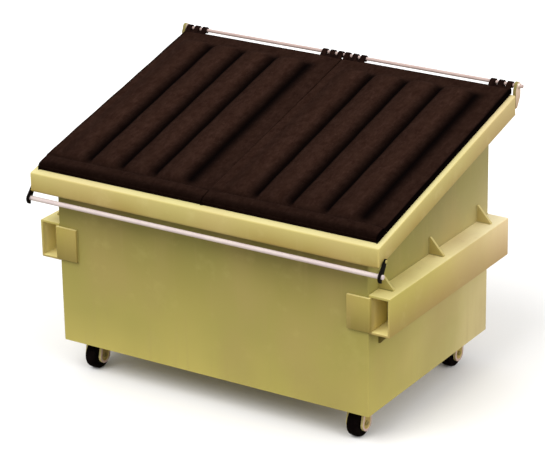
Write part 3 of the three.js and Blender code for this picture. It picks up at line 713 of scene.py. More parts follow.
def black_moulding(name, tone, dust, patch_scale):
    material, tree = new_finish(name, MOULDING_GLOSS)
    spot = place(tree)
    bloom = noise(tree, spot, scale=patch_scale, detail=4.0, roughness=0.6)
    grit = noise(tree, spot, scale=300.0, detail=2.0, roughness=0.6)
    tint = patched(tree, tone, dust, bloom, start=0.45, full=0.80, most=0.7)
    skin = bumped(tree, bloom + grit * 0.25, distance=0.0006, strength=0.5)
    return feed(material, {"Base Color": tint, "Roughness": 0.7 + bloom * 0.2, "Normal": skin})


hub_finish = black_moulding("hub_plastic", "1a1513", "3a322c", patch_scale=40.0)
tyre_finish = black_moulding("tyre_rubber", "060202", "1a1311", patch_scale=30.0)
knuckle_finish = black_moulding("knuckle_plastic", "120604", "2c1b14", patch_scale=35.0)
print("Black finishes:", hub_finish.name, tyre_finish.name, knuckle_finish.name)


# %% [markdown]
# ## Selecting in edit mode from code
# An operator acts on whatever is selected, and the frame arrives with all of its nodes selected. So
# each step starts by deselecting everything, and then selects faces or edges in code, by where they
# are or which way they face. These few helpers do that for all the pieces.

# %% Helpers for selecting and editing
def activate(piece):
    bpy.ops.object.select_all(action="DESELECT")
    piece.select_set(True)
    bpy.context.view_layer.objects.active = piece


def pick(piece, kind, test):
    """Selects only the vertices, edges or faces of a mesh that pass a test."""
    mesh = piece.data
    for vertex in mesh.vertices:
        vertex.select = kind == "VERT" and test(vertex)
    for edge in mesh.edges:
        edge.select = kind == "EDGE" and test(edge)
    for face in mesh.polygons:
        face.select = kind == "FACE" and test(face)


def edit(piece, kind, test, *steps):
    """Selects by a test, then runs each step in edit mode."""
    activate(piece)
    bpy.ops.object.mode_set(mode="EDIT")
    bpy.ops.mesh.select_mode(type=kind)
    bpy.ops.object.mode_set(mode="OBJECT")
    pick(piece, kind, test)
    bpy.ops.object.mode_set(mode="EDIT")
    for step in steps:
        step()
    bpy.ops.object.mode_set(mode="OBJECT")


def everything(_part):
    return True


def ends_of(piece, edge):
    return [piece.data.vertices[i].co for i in edge.vertices]


# %% [markdown]
# ## Steps in edit mode
# The steps that come back for several pieces get a name: a bevel, an extrusion straight down,
# deleting faces, merging doubles and turning all faces outwards. Merging comes before the turning,
# because loose faces have no neighbours to agree with.

# %% Steps that several pieces share
MERGE_DISTANCE = 0.00001


def bevel_by(offset, segments):
    return lambda: bpy.ops.mesh.bevel(offset=offset, segments=segments, affect="EDGES")


def extrude_down(drop):
    bpy.ops.mesh.extrude_region_move(TRANSFORM_OT_translate={"value": (0, 0, -drop)})


def delete_faces():
    bpy.ops.mesh.delete(type="FACE")


def merge_doubles():
    bpy.ops.mesh.remove_doubles(threshold=MERGE_DISTANCE)


def outward():
    bpy.ops.mesh.select_all(action="SELECT")
    merge_doubles()
    bpy.ops.mesh.normals_make_consistent(inside=False)


# %% [markdown]
# ## Finishing a mesh
# Modifiers are applied as soon as they are added, so that what is exported is what is seen. A piece
# also takes its place into its mesh and keeps its object at the origin, as the CAD nodes do.
# Otherwise a pattern that reads Object coordinates would slide when the model is baked.

# %% Helpers for whole pieces
def settle(piece):
    """Puts the object at the origin, unturned and unscaled, with its place in its mesh."""
    activate(piece)
    bpy.ops.object.transform_apply(location=True, rotation=True, scale=True)
    return piece


def apply_modifier(piece, kind, **settings):
    activate(piece)
    modifier = piece.modifiers.new(kind.title(), kind)
    for name, value in settings.items():
        setattr(modifier, name, value)
    bpy.ops.object.modifier_apply(modifier=modifier.name)
    return piece


def rounded(piece, width, segments=3, angle=30.0):
    """Bevels the edges that turn by more than an angle."""
    sharp = {"limit_method": "ANGLE", "angle_limit": math.radians(angle)}
    return apply_modifier(piece, "BEVEL", width=width, segments=segments, **sharp)


def smooth(piece, angle=35.0):
    activate(piece)
    bpy.ops.object.shade_smooth_by_angle(angle=math.radians(angle))
    return piece


def named(name):
    piece = bpy.context.active_object
    piece.name = name
    piece.data.name = name
    return piece


def added(name, primitive, **settings):
    """Adds a primitive with nothing else selected, and names it."""
    bpy.ops.object.select_all(action="DESELECT")
    primitive(**settings)
    return named(name)


def joined(pieces):
    """Makes one piece of several, under the name of the first."""
    activate(pieces[0])
    for piece in pieces:
        piece.select_set(True)
    bpy.ops.object.join()
    return pieces[0]


# %% [markdown]
# ## Handing a piece over
# A finished piece needs a finish and the body that it rides on, and the CAD nodes that it stands for
# are hidden. A helper does it the same way for every piece, so that none is forgotten.
# Another takes a CAD node's shape over as a copy and eases its edges, since the node itself stays
# as it is.

# %% Helpers for copying and handing over
FLAT_WITHIN = 0.5
made = []


def hand_over(piece, body, slot, finish, *nodes):
    """Gives a piece its finish and its body, and hides the CAD nodes that it stands for."""
    piece.data.materials.clear()
    piece.data.materials.append(finish)
    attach(piece, body)
    if nodes:
        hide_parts(*nodes)
    made.append(piece.name)
    return piece


def copied(piece, name, shift=(0, 0, 0)):
    """A copy with its own mesh, moved by a shift."""
    twin = bpy.data.objects.new(name, piece.data.copy())
    twin.data.name = name
    twin.data.transform(Matrix.Translation(shift))
    bpy.context.scene.collection.objects.link(twin)
    return twin


def flatten():
    bpy.ops.mesh.dissolve_limited(angle_limit=math.radians(FLAT_WITHIN))


def merged_node(node, name):
    """A copy of a CAD node, with its loose triangles merged and its flat faces made whole."""
    piece = copied(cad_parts[node], name)
    activate(piece)
    if piece.data.has_custom_normals:
        bpy.ops.mesh.customdata_custom_splitnormals_clear()
    edit(piece, "VERT", everything, merge_doubles, flatten)
    return piece


def eased_node(node, body, slot, finish, width, segments=3):
    """The CAD node again with eased edges, to catch the light as a real edge does."""
    piece = merged_node(node, node + "_eased")
    rounded(piece, width, segments)
    smooth(piece)
    return hand_over(piece, body, slot, finish, node)


# %% [markdown]
# ## Tub
# The real tub is four steel sheets welded at the corners, which rounds the corners a little. It is
# made here from one cube: its top and bottom are taken away, the four upright edges are bevelled,
# the upper edge is tilted to the rim, and a Solidify modifier gives the sheet its thickness. Four
# separate plates would leave hard joints at the corners. The floor keeps its CAD shape, since only
# its top is ever seen.

# %% Tub walls from one cube
TUB_TOP = 1.0
CORNER_ROUND = 0.007
TOP_CLEARANCE = 0.0043
SHEET_EASE = 0.0012
TOUCH = 0.00001
FLAT_FACE = 0.9
ENDS = ("front", "rear", "left", "right")
tub_middle = (FRONT + BACK) / 2


def looks_up_or_down(face):
    return abs(face.normal.z) > FLAT_FACE


def upright_corner(edge):
    first, second = ends_of(tub, edge)
    return (first - second).xy.length < TOUCH


def tilt_to_rim(piece):
    """Lifts the upper edge to the rim's slope, a little under its top."""
    for vertex in piece.data.vertices:
        if vertex.co.z > WALL_FOOT + TOP_CLEARANCE:
            vertex.co.z = rim_top(vertex.co.y) - TOP_CLEARANCE


middle = (0, tub_middle, (WALL_FOOT + TUB_TOP) / 2)
tub = added("tub_walls", bpy.ops.mesh.primitive_cube_add, size=1, location=middle)
tub.scale = (2 * HALF_WIDTH, BACK - FRONT, TUB_TOP - WALL_FOOT)
settle(tub)
edit(tub, "FACE", looks_up_or_down, delete_faces)
edit(tub, "EDGE", upright_corner, bevel_by(CORNER_ROUND, segments=5))
tilt_to_rim(tub)
apply_modifier(tub, "SOLIDIFY", thickness=WALL, offset=-1)
rounded(tub, SHEET_EASE, segments=2, angle=60.0)
smooth(tub)
hand_over(tub, "container", "body_paint", tub_enamel, *(end + "_wall" for end in ENDS))
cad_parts["floor_pan"].data.materials.clear()
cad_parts["floor_pan"].data.materials.append(tub_enamel)
print("Tub faces:", len(tub.data.polygons))

# %% [markdown]
# ## Rim
# The rim is a folded channel that runs right round: a flat top, an outer skirt, and a rolled toe
# that turns back to the wall. On the real container its corners are welded and ground round. A grid
# of nine faces without its middle one gives the flat top, and its outer edge is pulled down for the
# skirt. Mitred rails would be simpler, but the photograph shows no joint.

# %% Rim from a grid of nine faces
RIM_CELLS = 3
RIM_DROP = 0.107
MIDDLE_REACH = 0.4
rim_columns = [-RIM_HALF_WIDTH, WALL - HALF_WIDTH, HALF_WIDTH - WALL, RIM_HALF_WIDTH]
rim_rows = [RIM_FRONT, FRONT + WALL, BACK - WALL, RIM_BACK]


def start_rim():
    cells = {"x_subdivisions": RIM_CELLS, "y_subdivisions": RIM_CELLS}
    piece = added("rim_channel", bpy.ops.mesh.primitive_grid_add, size=RIM_CELLS, **cells)
    for vertex in piece.data.vertices:
        column = round(vertex.co.x + RIM_CELLS / 2)
        row = round(vertex.co.y + RIM_CELLS / 2)
        vertex.co = (rim_columns[column], rim_rows[row], 0)
    return piece


def middle_face(face):
    return face.center.xy.length < MIDDLE_REACH


def depths(point):
    """How far a point lies inside the rim's outer edge, along x and along y."""
    return RIM_HALF_WIDTH - abs(point.x), min(point.y - RIM_FRONT, RIM_BACK - point.y)


def on_rim_edge(point):
    return min(depths(point)) < TOUCH


def at_level(level, on_line):
    """A test for edges that run along a line of the rim at one level."""

    def test(edge):
        return all(on_line(end) and abs(end.z - level) < TOUCH for end in ends_of(rim, edge))

    return test


rim = start_rim()
edit(rim, "FACE", middle_face, delete_faces)
edit(rim, "EDGE", at_level(0, on_rim_edge), lambda: extrude_down(RIM_DROP))
print("Rim top and skirt faces:", len(rim.data.polygons))

# %% [markdown]
# ## Turning in the toe
# The skirt's lower edge is rolled inwards until it meets the wall, which closes the channel and
# keeps hands off a raw edge. The loose edge is extruded on the spot and moved to the wall, and the
# fold that this makes is bevelled wide. A hair's gap is left to the wall, so that no two surfaces
# lie in one place.

# %% Toe of the rim
TOE = 0.018
HAIR_GAP = 0.0003


def draw_in_selected(piece):
    """Moves the selected edge loop from the skirt in to the wall."""
    bpy.ops.object.mode_set(mode="OBJECT")
    for vertex in piece.data.vertices:
        if vertex.select:
            vertex.co.x = math.copysign(HALF_WIDTH + HAIR_GAP, vertex.co.x)
            vertex.co.y = FRONT - HAIR_GAP if vertex.co.y < tub_middle else BACK + HAIR_GAP
    bpy.ops.object.mode_set(mode="EDIT")


def turn_in():
    extrude_down(0)
    draw_in_selected(rim)


edit(rim, "EDGE", at_level(-RIM_DROP, on_rim_edge), turn_in)
edit(rim, "EDGE", at_level(-RIM_DROP, on_rim_edge), bevel_by(TOE, segments=6))
print("Rim faces with the toe:", len(rim.data.polygons))

# %% [markdown]
# ## Corners and slope of the rim
# The four corners and the long fold at the top are bevelled in turn, then the rim is sheared up to
# its slope and Solidify gives it thickness. The slope comes last, because every test for an edge is
# simpler while the rim is still level.

# %% Corners, fold, slope and thickness
RIM_SHEET = 0.004
RIM_REAR_EXTRA = 0.007
RIM_CORNER = 0.0105
RIM_EASE = 0.0009
SHOULDER = 0.008
MITRE_TOUCH = 0.0001
CORNER_TOUCH = 0.001
RIM_TOP_FROM = 1.09


def on_mitre(point):
    """True where front and side skirts meet, down through the toe's curve."""
    deep_x, deep_y = depths(point)
    return abs(deep_x - deep_y) < MITRE_TOUCH and deep_x < TOE + MITRE_TOUCH


def skirt_corner(edge):
    first, second = ends_of(rim, edge)
    return on_mitre(first) and on_mitre(second) and abs(first.z - second.z) > MITRE_TOUCH


def near_rim_edge(point):
    """True on the outer edge, round its corners too."""
    deep_x, deep_y = depths(point)
    if min(deep_x, deep_y) < TOUCH:
        return True
    if max(deep_x, deep_y) > RIM_CORNER:
        return False
    reach = math.hypot(RIM_CORNER - deep_x, RIM_CORNER - deep_y)
    return abs(reach - RIM_CORNER) < CORNER_TOUCH


def shear_rim(piece):
    """Lifts the rim to its slope, and lets its skirt grow a little deeper towards the rear."""
    for vertex in piece.data.vertices:
        share = (vertex.co.y - RIM_FRONT) / (RIM_BACK - RIM_FRONT)
        low = RIM_REAR_EXTRA * share if vertex.co.z < -RIM_DROP / 2 else 0
        vertex.co.z += rim_top(vertex.co.y) - low


def top_outward(piece):
    """Turns the sheet over if its top looks down, so that Solidify thickens it inwards."""
    tops = [face for face in piece.data.polygons if face.center.z > RIM_TOP_FROM]
    if sum(face.normal.z * face.area for face in tops) < 0:
        edit(piece, "FACE", everything, bpy.ops.mesh.flip_normals)


edit(rim, "EDGE", skirt_corner, bevel_by(RIM_CORNER, segments=6))
edit(rim, "EDGE", at_level(0, near_rim_edge), bevel_by(SHOULDER, segments=5))
edit(rim, "FACE", everything, outward)
shear_rim(rim)
top_outward(rim)
apply_modifier(rim, "SOLIDIFY", thickness=RIM_SHEET, offset=-1, use_even_offset=False)
rounded(rim, RIM_EASE, segments=2, angle=60.0)
smooth(rim)
hand_over(rim, "container", "rim_paint", rim_enamel, *(end + "_rim_rail" for end in ENDS))
print("Rim faces:", len(rim.data.polygons))

# %% [markdown]
# ## Fork pockets, guide plates and gussets
# These are thick plates with flame-cut and ground edges. Their CAD shapes are already right, so
# each is copied, its triangles are merged, and a Bevel modifier eases its edges. A sharp edge
# reflects nothing and looks like paper, and an eased one shows the thin bright line of real plate.

# %% Eased plates on both sides
POCKET_EASE = 0.003
GUIDE_EASE = 0.0022
GUSSET_EASE = 0.0018
EAR_EASE = 0.002
LUG_EASE = 0.0009
SIDES = ("left", "right")
for side in SIDES:
    eased_node(side + "_fork_pocket", "container", "pocket_paint", pocket_enamel, POCKET_EASE)
    eased_node(side + "_guide_plate", "container", "plate_paint", guide_enamel, GUIDE_EASE)
    for spot in ("front", "middle", "rear", "lower"):
        eased_node(f"{side}_{spot}_gusset", "container", "gusset_paint", gusset_enamel, GUSSET_EASE)
    eased_node(side + "_hinge_ear", "container", "ear_paint", ear_enamel, EAR_EASE)
    eased_node(side + "_bar_lug", "container", "lug_paint", plate_enamel, LUG_EASE, segments=2)
print("Pieces so far:", len(made))

# %% [markdown]
# ## Turned and round pieces
# The CAD rods have twelve sides, which is enough for their job there. Here a round rod starts as a
# fine cylinder whose end edges are bevelled, and a ring starts as a circle of vertices set out as
# its section, which is spun once round its axis.

# %% Rods along x, and the bar's straps
ROD_SIDES = 40
ROD_EASE = 0.0015
BAR_SIDES = 48
BAR_EASE = 0.002
ARM_EASE = 0.0012


def round_rod(name, node, sides, ease):
    low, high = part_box(node)
    piece = added(
        name,
        bpy.ops.mesh.primitive_cylinder_add,
        vertices=sides,
        radius=(high.z - low.z) / 2,
        depth=high.x - low.x,
        location=node_centre(node),
        rotation=(0, math.pi / 2, 0),
    )
    settle(piece)
    rounded(piece, ease, segments=3, angle=60.0)
    return smooth(piece)


hinge_rod = round_rod("hinge_rod_round", "hinge_rod", ROD_SIDES, ROD_EASE)
hand_over(hinge_rod, "container", "rod_paint", rod_white, "hinge_rod")
front_bar = round_rod("front_bar_round", "front_bar", BAR_SIDES, BAR_EASE)
hand_over(front_bar, "bar", "rod_paint", bar_white, "front_bar")
for side in SIDES:
    eased_node(side + "_bar_arm", "bar", "arm_coating", strap_black, ARM_EASE)
print("Rods:", hinge_rod.name, front_bar.name)

# %% [markdown]
# ## Collar on the hinge rod
# A ring locked on the rod keeps it from sliding out. Its section is a small rectangle with its
# outer corners cut off, spun round the rod. Sections like this are alike on both sides, so only the
# left half is written down and the right half is its mirror image.

# %% Spun rings and the collar
ROD_RADIUS = 0.0095
COLLAR_RADIUS = 0.014
COLLAR_CUT = 0.0015
SPIN_STEPS = 56


def mirror_of(section):
    """The right half of a section whose left half is given."""
    return [(-along, radius) for along, radius in reversed(section)]


def ring_section(half, bore, radius, cut):
    left = [(-half, bore), (-half, radius - cut), (cut - half, radius)]
    return left + mirror_of(left)


def spun_ring(name, section, centre, steps=SPIN_STEPS):
    """Spins a closed section, given as distances along an axis and from it, round that axis."""

    def spin():
        bpy.ops.mesh.spin(steps=steps, angle=2 * math.pi, center=centre, axis=(1, 0, 0))

    piece = added(name, bpy.ops.mesh.primitive_circle_add, vertices=len(section), radius=1)
    for vertex, (along, radius) in zip(piece.data.vertices, section):
        vertex.co = (centre[0] + along, centre[1], centre[2] + radius)
    settle(piece)
    edit(piece, "VERT", everything, spin, outward)
    return smooth(piece)


collar_low, collar_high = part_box("rod_collar")
collar_half = (collar_high.x - collar_low.x) / 2
rod_centre = node_centre("rod_collar")
collar_section = ring_section(collar_half, ROD_RADIUS + HAIR_GAP, COLLAR_RADIUS, COLLAR_CUT)
collar = spun_ring("rod_collar_ring", collar_section, rod_centre)
hand_over(collar, "container", "collar_zinc", bright_zinc, "rod_collar")
print("Collar centre:", [round(value, 4) for value in rod_centre])

# %% [markdown]
# ## Lids
# Each lid is a moulded shell. Four long pillow-shaped ribs stiffen it, with steep narrow valleys
# between them and rounded ends, a round bead runs along its front, and a low ridge along its left
# edge. Sculpting or pushing edges by hand could give that shape, but a rule keeps all eight ribs
# alike. So a grid is laid out first, with its lines closer together where the surface turns.

# %% Lid sizes and grid lines
LID_LEFT, LID_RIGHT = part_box("right_lid")[0].x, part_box("right_lid")[1].x
LID_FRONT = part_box("right_lid")[0].y
ROD_Y, ROD_Z = rod_centre.y, rod_centre.z
LID_BACK = ROD_Y - 0.025
LID_WIDTH = LID_RIGHT - LID_LEFT
LID_DEPTH = LID_BACK - LID_FRONT
EDGE_ROUND = 0.008
EDGE_LINES = 6
BEAD_DEPTH = 0.072
RIBS = 4
RIB_PITCH = 0.2
RIB_FIRST = 0.145
COLUMN_STEP = 0.0105
ROW_STEP = 0.0125
FINE_STEP = 0.0035
FINE_LINES = 3
LEAST_STEP = 0.0012
BEAD_FOOT = 0.006


def eased_lines(length, step, *fine_spots):
    """Grid lines over a length, close together at both ends and round each spot."""
    lines = {0.0, length}
    for i in range(1, EDGE_LINES + 1):
        turn = EDGE_ROUND * (1 - math.cos(i * math.pi / (2 * EDGE_LINES)))
        lines.update((turn, length - turn))
    count = round(length / step)
    lines.update(i * length / count for i in range(1, count))
    for spot in fine_spots:
        lines.update(spot + k * FINE_STEP for k in range(-FINE_LINES, FINE_LINES + 1))
    kept = []
    for line in sorted(lines):
        near_end = line < EDGE_ROUND or line > length - EDGE_ROUND
        if not kept or near_end or line - kept[-1] > LEAST_STEP:
            kept.append(line)
    return kept


valleys = [RIB_FIRST + (i - 0.5) * RIB_PITCH for i in range(RIBS + 1)]
lid_columns = eased_lines(LID_WIDTH, COLUMN_STEP, *valleys)
lid_rows = eased_lines(LID_DEPTH, ROW_STEP, BEAD_FOOT, BEAD_DEPTH)
print("Lid grid:", len(lid_columns), "by", len(lid_rows))

# %% [markdown]
# ## Ribs
# Seen from above a rib is a rounded rectangle, flat along its back and steep at its flanks. Raising
# its distances across and along to the same power and adding them gives that outline: at a power of
# 2 it would be an ellipse, and the higher the power, the squarer the rib.

# %% How high a rib stands
RIB_HALF = 0.096
RIB_FRONT = 0.080
RIB_REAR = 0.078
RIB_END = 0.060
RIB_POWER = 2.6
RIB_FULLNESS = 0.85


def eased_share(value, low, high):
    """0 below low, 1 above high, with a soft start and end."""
    share = min(1.0, max(0.0, (value - low) / (high - low)))
    return share * share * (3 - 2 * share)


def rib_end(y):
    """0 along most of a rib, rising to 1 at its front and rear ends."""
    front = max(0.0, 1 - (y - RIB_FRONT) / RIB_END)
    rear = max(0.0, 1 - (LID_DEPTH - RIB_REAR - y) / RIB_END)
    return max(front, rear)


def rib_rise(x, y):
    """1 on the crest of a rib and 0 in a valley, with rounded ends."""
    best = 0.0
    for i in range(RIBS):
        across = abs(x - RIB_FIRST - i * RIB_PITCH) / RIB_HALF
        outwards = across**RIB_POWER + rib_end(y) ** RIB_POWER
        if outwards < 1:
            best = max(best, (1 - outwards) ** RIB_FULLNESS)
    return best


halfway = RIB_FIRST + RIB_HALF / 2
print("Rise halfway between a crest and its foot:", round(rib_rise(halfway, LID_DEPTH / 2), 3))

# %% [markdown]
# ## A height for every place on the lid
# The lid's form is written as a sum: a flat deck, rounded at its edges, with ribs, a bead, a ridge
# and a slight sag added. Displacing a mesh with a picture would need a picture, and this needs only
# a few sizes.

# %% Height of the lid's surface
LID_DECK = 0.030
LID_EDGE = 0.022
RIB_HEIGHT = 0.0205
BEAD_CREST = 0.0485
BEAD_POWER = 3
BEAD_DROP = 0.009
BEAD_FADE = 0.09
RIDGE_HEIGHT = 0.0145
RIDGE_CREST = 0.0255
RIDGE_FOOT = 0.0816
SLOW_SAG = 0.0012
SLOW_ACROSS, SLOW_ALONG = 7.3, 5.1
SLOW_START = 1.1
QUICK_SAG = 0.0008
QUICK_ACROSS, QUICK_ALONG = 5, 23


def ridge_rise(x, y):
    """The ridge sinks from the lid's left edge inwards, and from the front to the rear."""
    return RIDGE_HEIGHT * (1 - eased_share(x, RIDGE_CREST, RIDGE_FOOT)) * (1 - y / LID_DEPTH)


def sag(x, y):
    """The slight unevenness of a large thin moulding: a slow wave and a quicker one."""
    slow = SLOW_SAG * math.sin(SLOW_ACROSS * x + SLOW_START) * math.sin(SLOW_ALONG * y)
    quick = QUICK_SAG * math.sin(QUICK_ALONG * y + QUICK_ACROSS * x)
    return (slow + quick) * eased_share(y, BEAD_DEPTH, 2 * BEAD_DEPTH)


def bead_height(x, y, plain, deck):
    """The arch of the front bead, from the lid's edge in front to the deck behind."""
    share = y / BEAD_DEPTH
    arch = max(0.0, 1 - abs(2 * share - 1) ** BEAD_POWER) ** (1 / BEAD_POWER)
    foot = LID_EDGE if share < 0.5 else deck
    corner = 1 - eased_share(min(x, LID_WIDTH - x), 0.0, BEAD_FADE)
    crest = BEAD_CREST - (LID_DECK - plain) - BEAD_DROP * corner
    return foot + (crest - foot) * arch


def lid_height(x, y):
    """Height above the rim's top, at x from the lid's left edge and y from its front."""
    edge = min(x, LID_WIDTH - x, LID_DEPTH - y)
    deep = min(1.0, max(0.0, edge / EDGE_ROUND))
    plain = LID_EDGE + (LID_DECK - LID_EDGE) * math.sqrt(1 - (1 - deep) ** 2)
    deck = plain + ridge_rise(x, y)
    if y < BEAD_DEPTH:
        return bead_height(x, y, plain, deck)
    return deck + RIB_HEIGHT * rib_rise(x, y) + sag(x, y)


print("Lid height on a rib:", round(lid_height(RIB_FIRST + RIB_PITCH, LID_DEPTH / 2), 4))
print("Lid height in a valley:", round(lid_height(valleys[2], LID_DEPTH / 2), 4))

# %% [markdown]
# ## Where the lid is rubbed and where it is dirty
# Each rib gets painted light on its crest and its left flank, where the light falls, and painted
# shade darkens it towards the valley on its right, with the valleys nearly black. A number for each
# vertex says how much painted light it has there, and the lid's finish reads it. A pattern on
# coordinates alone couldn't follow the ribs of both lids.

# %% Painted light across the ribs
SHADE_SHIFT = 0.006
VALLEY_LIGHT = 0.03
LEFT_LIGHT = 0.85
FLANK_LIGHT = 0.75
FLANK_PLACE = 0.09
CREST_FROM = 0.1
CREST_PLACE = 0.6
RIGHT_RISE = 0.7
RIGHT_REACH = 0.35


def shade_across_ribs(x):
    """Painted light from just past one valley to the rib's crest, then painted shade down to the next
    valley.
    """
    along = (x - SHADE_SHIFT - RIB_FIRST) / RIB_PITCH + 0.5
    if along < 0:
        return LEFT_LIGHT
    if along > RIBS:
        return VALLEY_LIGHT + RIGHT_RISE * eased_share(along - RIBS, 0.0, RIGHT_REACH)
    share = along - math.floor(along)
    start = LEFT_LIGHT if along < 1 else VALLEY_LIGHT
    rise = start + (FLANK_LIGHT - start) * eased_share(share, 0.0, FLANK_PLACE)
    rise += (1 - FLANK_LIGHT) * eased_share(share, CREST_FROM, CREST_PLACE)
    return rise * (1 - eased_share(share, CREST_PLACE, 1.0))


print("Wear in a valley:", round(shade_across_ribs(valleys[2]), 2))
print("Wear on a crest:", round(shade_across_ribs(valleys[2] + CREST_PLACE * RIB_PITCH), 2))

# %% [markdown]
# ## Painted shade along the lid and at its outer edge
# The stripes of the ribs fade out at both ends, the groove behind the bead and the front lip get
# painted shade, and the front half is a little darker than the rear. Where a lid's outer side meets
# the rim a line of painted shadow runs, widest at the rear. Each lid has it on another side, so it
# is added after the lid has been copied.

# %% Painted shade at a place and along the outer edge
PLAIN_LIGHT = 0.72
STRIPE_FRONT = RIB_FRONT - 0.016
STRIPE_FULL = RIB_FRONT + 0.05
STRIPE_TAIL = 0.01
STRIPE_END = 0.7 * RIB_END
GROOVE_PLACE = BEAD_DEPTH + 0.006
GROOVE_HALF = 0.016
GROOVE_LIGHT = 0.7
LIP_LIGHT = 0.45
LIP_REACH = 0.03
FRONT_LIGHT = 0.8
FRONT_REACH = 0.45
EDGE_DARK = 0.003
EDGE_FADE = 0.018
EDGE_FRONT = 0.4


def raised(low, share):
    """From low, at a share of 0, to 1, at a share of 1."""
    return low + (1 - low) * share


def painted_light_at(x, y):
    stripes = eased_share(y, STRIPE_FRONT, STRIPE_FULL)
    stripes *= eased_share(LID_DEPTH - RIB_REAR - y, -STRIPE_TAIL, STRIPE_END)
    level = PLAIN_LIGHT + (shade_across_ribs(x) - PLAIN_LIGHT) * stripes
    level *= raised(GROOVE_LIGHT, min(1.0, abs(y - GROOVE_PLACE) / GROOVE_HALF))
    lip = raised(LIP_LIGHT, eased_share(y, 0.0, LIP_REACH))
    return level * lip * raised(FRONT_LIGHT, eased_share(y, 0.0, FRONT_REACH))


def shade_outer_edge(piece, outer_x):
    # Painted shadow where the lid's outer side meets the rim, widest at the rear.
    painted_light = piece.data.attributes[LIGHT_ATTRIBUTE]
    for vertex in piece.data.vertices:
        inwards = abs(vertex.co.x - outer_x)
        rearwards = (vertex.co.y - LID_FRONT) / LID_DEPTH
        fade = EDGE_FADE * raised(EDGE_FRONT, rearwards)
        painted_light.data[vertex.index].value *= eased_share(inwards, EDGE_DARK, EDGE_DARK + fade)


# %% [markdown]
# ## From grid to shell
# A fresh grid gets its vertices from the lines and the height rule. Its border is extruded and
# drawn down to the rim, which makes the lip that sheds rain, and Solidify gives the sheet its
# thickness inwards, so that the outside keeps its size. Two copies of the sheet would leave the
# edge open.

# %% Lid shell from a grid
LID_REST = 0.001
LID_SHEET = 0.005
LIP_FRONT_LIGHT = 0.2
BORDER_TOUCH = 0.000001


def lid_grid(name):
    across, along = len(lid_columns) - 1, len(lid_rows) - 1
    grid = bpy.ops.mesh.primitive_grid_add
    piece = added(name, grid, x_subdivisions=across, y_subdivisions=along, size=1)
    painted_light = piece.data.attributes.new(LIGHT_ATTRIBUTE, "FLOAT", "POINT")
    for index, vertex in enumerate(piece.data.vertices):
        x = lid_columns[index % (across + 1)]
        y = lid_rows[index // (across + 1)]
        vertex.co = (x, y, lid_height(x, y))
        painted_light.data[index].value = painted_light_at(x, y)
    return piece


def on_border(edge):
    for axis, size in ((0, LID_WIDTH), (1, LID_DEPTH)):
        for side in (0.0, size):
            if all(abs(end[axis] - side) < BORDER_TOUCH for end in ends_of(lid, edge)):
                return True
    return False


def drop_lip():
    """Extrudes the border and draws it down to the rim, with painted shade that makes the lip nearly
    black, a little less at the front.
    """
    extrude_down(0)
    bpy.ops.object.mode_set(mode="OBJECT")
    painted_light = lid.data.attributes[LIGHT_ATTRIBUTE]
    for vertex in lid.data.vertices:
        if vertex.select:
            vertex.co.z = LID_REST
            painted_light.data[vertex.index].value = LIP_FRONT_LIGHT if vertex.co.y < EDGE_ROUND else 0.0
    bpy.ops.object.mode_set(mode="EDIT")


lid = lid_grid("right_lid_shell")
edit(lid, "EDGE", on_border, drop_lip)
apply_modifier(lid, "SOLIDIFY", thickness=LID_SHEET, offset=-1, use_even_offset=False)
for vertex in lid.data.vertices:
    ground = LID_FRONT + vertex.co.y
    vertex.co = (LID_LEFT + vertex.co.x, ground, max(vertex.co.z, LID_REST) + rim_top(ground))
smooth(lid, angle=50.0)
print("Lid faces:", len(lid.data.polygons))

# %% [markdown]
# ## Knuckles
# At each end of its rear edge a lid has a tab that reaches back to the hinge rod and ends in three
# barrels round it, with the pale rod showing between them. A barrel is a ring spun round the rod,
# and the tab and the arms are cubes that are stretched and tilted between the lid and the barrels.
# Their ends are given by how far they stand from the middle of the rod.

# %% Pieces of a knuckle
KNUCKLE_RADIUS = 0.017
KNUCKLE_HALF = 0.015
KNUCKLE_CUT = 0.002
KNUCKLE_BORE = ROD_RADIUS + 0.0008
BLOCK_EASE = 0.0012
ROOT_Y = LID_BACK - 0.014
ROOT_SINK = 0.0005
ROOT_TOP = rim_top(ROOT_Y) + LID_DECK - ROOT_SINK
ROOT = (ROOT_Y, ROOT_TOP - LID_SHEET, ROOT_TOP)
TAB_END = (ROD_Y - 0.0195, ROD_Z - 0.014, ROD_Z - 0.0035)
ARM_END = (ROD_Y - 0.0125, ROD_Z - 0.010, ROD_Z + 0.0112)
barrel_section = ring_section(KNUCKLE_HALF, KNUCKLE_BORE, KNUCKLE_RADIUS, KNUCKLE_CUT)


def tilted_block(name, x_low, x_high, front, back):
    """A block between two upright sections, each given as its y, its lower z and its upper z."""
    piece = added(name, bpy.ops.mesh.primitive_cube_add, size=2)
    for vertex in piece.data.vertices:
        y, low, high = front if vertex.co.y < 0 else back
        x = x_low if vertex.co.x < 0 else x_high
        vertex.co = (x, y, low if vertex.co.z < 0 else high)
    settle(piece)
    return rounded(piece, BLOCK_EASE, segments=2)


# %% [markdown]
# ## A group of three knuckles
# The tab, the arms and the barrels of one group are joined to one piece, because they are one
# moulding on the real lid. A group is made at each end of the right lid.

# %% Knuckles for one lid
KNUCKLE_INSET = 0.067
KNUCKLE_PITCH = 0.048
BARREL_STEPS = 40


def knuckle_group(name, middle_x):
    """A low tab on the lid's rear edge, with three arms that rise to three barrels."""
    half = KNUCKLE_PITCH + KNUCKLE_HALF
    parts = [tilted_block(name, middle_x - half, middle_x + half, ROOT, TAB_END)]
    for step in (-1, 0, 1):
        x = middle_x + step * KNUCKLE_PITCH
        parts.append(tilted_block(name + "_arm", x - KNUCKLE_HALF, x + KNUCKLE_HALF, ROOT, ARM_END))
        parts.append(spun_ring(name + "_barrel", barrel_section, (x, ROD_Y, ROD_Z), BARREL_STEPS))
    return smooth(joined(parts))


